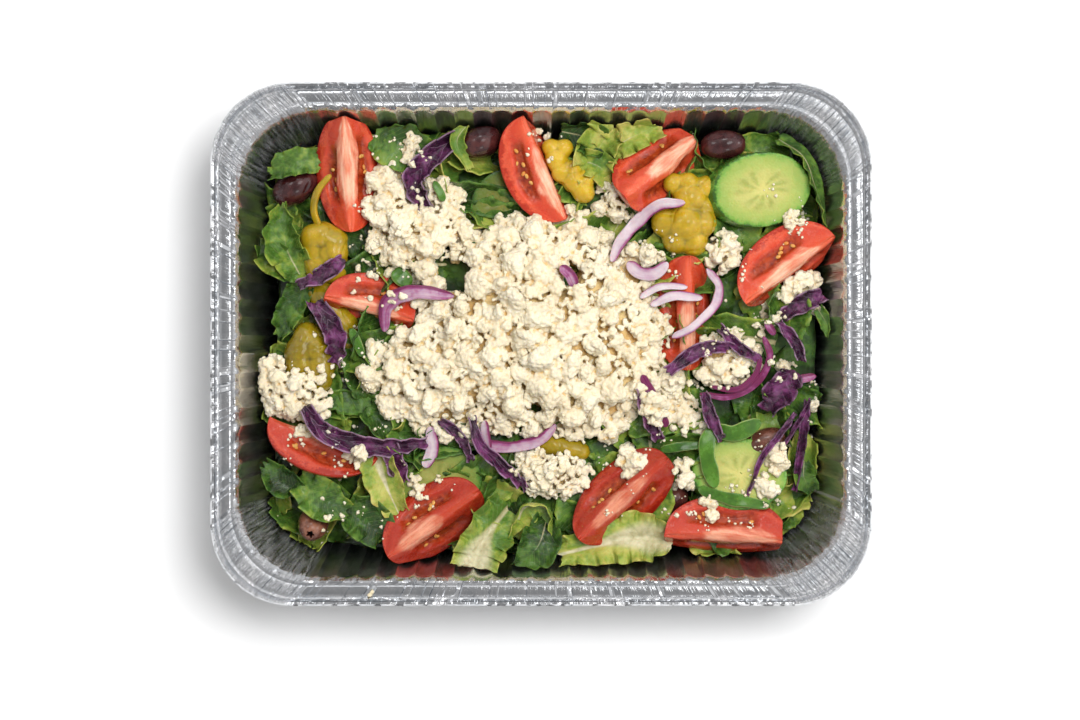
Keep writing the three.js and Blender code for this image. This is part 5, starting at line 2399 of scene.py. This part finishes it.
CHEESE_PILES = (
    CheesePile(
        "crumbled_cheese_1", 1350, 14.0, 4, 1, gaps=((-44, 35, 8), (-37, 31, 6), (14, 33, 5), (-3, -32, 4)),
    ),
    CheesePile("crumbled_cheese_2", 380, 12.0, 1, 2, gaps=((-47, 38, 8), (-90, 55, 5))),
    CheesePile("crumbled_cheese_3", 130, 11.0, 1, 3),
    CheesePile("crumbled_cheese_4", 50, 10.0, 1, 4),
    CheesePile("crumbled_cheese_5", 110, 9.0, 1, 5),
    CheesePile("crumbled_cheese_6", 80, 8.0, 1, 6),
    CheesePile("crumbled_cheese_7", 150, 7.0, 1, 7),
    CheesePile("crumbled_cheese_8", 50, 9.0, 1, 8),
)


@dataclass(frozen=True)
class Handful:
    """Loose crumbs dropped on a patch: its middle, half sizes, how many and how large."""

    x: float
    y: float
    wide: float
    deep: float
    count: int
    small: float
    large: float


HANDFULS = (
    Handful(-64.0, 97.0, 5, 8, 22, 3, 7),
    Handful(0.5, 106.0, 4, 5, 6, 4, 7),
    Handful(55.0, 42.0, 7, 5, 14, 3, 8),
    Handful(62.0, -27.0, 16, 13, 75, 3, 10),
    Handful(74.0, -38.0, 9, 9, 22, 3, 9),
    Handful(120.0, -12.0, 8, 7, 12, 3, 7),
    Handful(112.0, 12.0, 8, 8, 10, 3, 6),
    Handful(45.0, -58.0, 7, 9, 22, 4, 9),
    Handful(71.0, -65.0, 5.5, 8, 18, 4, 9),
    Handful(117.0, -55.0, 6, 8, 20, 4, 9),
    Handful(112.0, -71.0, 6, 8, 16, 3.5, 8),
    Handful(84.0, -82.0, 3.5, 8, 10, 3, 7),
    Handful(-91.0, -56.0, 5, 4, 9, 4, 9),
    Handful(-118.0, -44.0, 5, 3, 6, 3, 6),
    Handful(-58.0, -70.0, 9, 8, 16, 3, 7),
    Handful(-105.0, -84.0, 12, 8, 5, 2.5, 4.5),
    Handful(138.0, -32.0, 3, 3, 4, 6, 9),
    Handful(126.5, 62.0, 6, 4, 8, 4, 8),
    Handful(-72.0, 52.0, 9, 6, 8, 3, 6),
    Handful(-88.0, 30.0, 6, 14, 14, 2.5, 5.5),
    Handful(-108.0, -14.0, 9, 6, 10, 3, 6),
    Handful(-83.5, -121.5, 0.8, 2.0, 5, 1.8, 3.2),
    Handful(2.0, -60.0, 19, 7, 34, 2.2, 5.0),
    Handful(-72.0, 22.0, 8, 5, 12, 2.2, 5.0),
)


@dataclass(frozen=True)
class Crumbs:
    """Loose cheese: lumps in handfuls, and fine grains over everything."""

    voxel: float = 0.55
    trails: int = 170
    spill: float = 5.0  # how far past a handful its trails start

    def lumps(self, table: Table) -> BMesh:
        """The handfuls of lumps.

        Args:
            table: Knows what they lie on.

        Returns:
            All of them in one mesh.
        """
        rng = random.Random(5)
        shape = bmesh.new()
        for handful in HANDFULS:
            for _ in range(handful.count):
                angle, reach = rng.uniform(0, math.tau), math.sqrt(rng.random())
                x = handful.x + handful.wide * reach * math.cos(angle)
                y = handful.y + handful.deep * reach * math.sin(angle)
                z = table.under(x, y)
                size = mix(handful.small, handful.large, rng.random() ** 1.5) * (1.1 - 0.4 * reach)
                spot = Vector((x, y, z + size * 0.25))
                if z < TRAY.height - 4:
                    spot = TRAY.keep_inside(spot, 2 + size / 2)
                Crumb(spot, size, rng.randint(1, 99999)).add_to(shape)
        shape = remeshed(shape, self.voxel)
        curdle(shape, 9)
        return shape

    def grains(self, table: Table) -> BMesh:
        """The fine grains, in little trails that start at the lumps.

        Args:
            table: Knows what they lie on.

        Returns:
            All of them in one mesh.
        """
        rng = random.Random(6)
        shape = bmesh.new()
        (hollow,) = layers(shape, "hollow")
        for _ in range(self.trails):
            heap = rng.choice(HANDFULS)
            x, y = rng.gauss(heap.x, heap.wide + self.spill), rng.gauss(heap.y, heap.deep + self.spill)
            for _ in range(rng.choice((1, 2, 3, 5, 8))):
                x, y = x + rng.gauss(0, 1.6), y + rng.gauss(0, 1.6)
                spot = TRAY.keep_inside(Vector((x, y, 40)), 5)
                z = table.under(spot.x, spot.y)
                size = mix(0.8, 2.6, rng.random() ** 2)
                middle = Matrix.Translation((spot.x, spot.y, z + size * 0.2))
                made = bmesh.ops.create_icosphere(shape, subdivisions=1, radius=size / 2, matrix=middle)
                for vert in made["verts"]:
                    jolt = Vector((rng.uniform(-1, 1), rng.uniform(-1, 1), rng.uniform(-1, 1)))
                    vert.co += jolt * size * 0.16
                    vert[hollow] = 0.3
        return shape

    def build(self, table: Table, finish: Material) -> None:
        """Make the lumps, then the grains on top of them."""
        table.serve(self.lumps(table), "cheese_lumps", [finish], Slot.CHEESE)
        table.serve(self.grains(table), "cheese_grains", [finish], Slot.CHEESE, ground=False)


# ---- Studio -------------------------------------------------------------------------------


@dataclass(frozen=True)
class Glint:
    """A small bright patch of the sky, for bright things to mirror."""

    toward: Point
    wide: float  # degrees from its middle to its edge
    strength: float


@dataclass(frozen=True)
class Studio:
    """A camera straight above, a soft light from the back right and a pale floor, in metres."""

    camera_at: Point = (-0.00049, -0.00783, 1.312)
    lens: float = 85.0
    sensor: float = 36.0
    key_at: Point = (0.33, 0.27, 1.35)
    key_size: float = 0.6
    key_power: float = 19.0
    brighter: Point = (0.75, 0.65, 0.0)  # the way to the brighter side of the sky
    floor_half: float = 4.0
    floor_at: float = -0.0003
    glints: tuple[Glint, ...] = (
        Glint((0.33, 0.27, 1.35), 11.0, 2.8),
        Glint((-0.7, 0.45, 1.0), 7.0, 3.5),
        Glint((0.25, -0.8, 0.9), 7.0, 3.0),
        Glint((0.9, 0.1, 0.7), 7.0, 3.5),
        Glint((-0.1, 0.75, 0.8), 7.0, 3.5),
    )

    def build(self) -> None:
        """Make the camera, the light, the sky and the floor."""
        scene = bpy.context.scene
        scene.view_settings.view_transform = "Standard"
        camera = added("camera", bpy.data.cameras.new("camera"))
        camera.data.lens, camera.data.sensor_width = self.lens, self.sensor
        camera.location = self.camera_at
        scene.camera = camera
        self._key()
        self._sky(scene)
        shape = bmesh.new()
        bmesh.ops.create_grid(shape, x_segments=1, y_segments=1, size=self.floor_half)
        bmesh.ops.translate(shape, vec=(0, 0, self.floor_at), verts=shape.verts)
        ground = added("floor", mesh_of(shape, "floor"))
        ground.data.materials.append(FloorFinish().material())

    def _key(self) -> None:
        """Make the square soft light that faces the tray."""
        lamp = bpy.data.lights.new("key", "AREA")
        lamp.shape, lamp.size, lamp.energy = "SQUARE", self.key_size, self.key_power
        holder = added("key", lamp)
        holder.location = self.key_at
        holder.rotation_euler = (-Vector(self.key_at)).to_track_quat("-Z", "Y").to_euler()
        holder.visible_glossy = False

    def _sky(self, scene: bpy.types.Scene) -> None:
        """White light, stronger from one side and weaker overhead and at the horizon.

        Args:
            scene: The scene that gets it.
        """
        world = bpy.data.worlds.new("studio")
        world.use_nodes = True
        graph = Graph(world.node_tree)
        where = graph.node("ShaderNodeTexCoord").outputs["Generated"]

        def toward(way: Sequence[float]) -> NodeSocket:
            """How far a direction points one way, from -1 to 1."""
            return graph.fed(graph.node("ShaderNodeVectorMath", operation="DOT_PRODUCT"), {0: where, 1: way}, "Value")

        height = graph.fed(graph.node("ShaderNodeSeparateXYZ"), {0: where}, "Z")
        glow = graph.spread(toward(self.brighter), -0.5, 0.6, 0.43, 0.84)
        dome = graph.times(graph.spread(height, 0.985, 0.8, 0.5, 0.95), graph.spread(height, 0.0, 0.4, 0.4, 1.0))
        for glint in self.glints:
            rim = math.cos(math.radians(glint.wide))
            facing = toward(Vector(glint.toward).normalized())
            dome = graph.add(dome, graph.spread(facing, rim, mix(rim, 1.0, 0.4), 0.0, glint.strength))
        background = world.node_tree.nodes["Background"]
        graph.feed(background.inputs["Strength"], graph.times(glow, dome))
        background.inputs["Color"].default_value = (1, 1, 1, 1)
        scene.world = world


def main() -> None:
    """Build the studio, the tray and the salad, from the bottom up."""
    logging.basicConfig(level=logging.INFO, format="%(name)s: %(message)s")
    table = Table()
    seeds = Seeds()
    Studio().build()
    tray = FoilTray()
    foil = [FoilFinish().material()]
    table.serve(tray.build(), "foil_pan", foil, Slot.FOIL, ["foil_tray", "foil_rim"], thick=tray.thick)
    RomaineHeap().build(table, LeafFinish().material())
    Vegetables().build(table, seeds)
    cheese = CheeseFinish().material()
    for pile in CHEESE_PILES:
        pile.build(table, cheese)
    table.serve(seeds.shape, "seeds", [SeedFinish().material()], Slot.TOMATO)
    Crumbs().build(table, cheese)


if __name__ == "__main__":
    main()
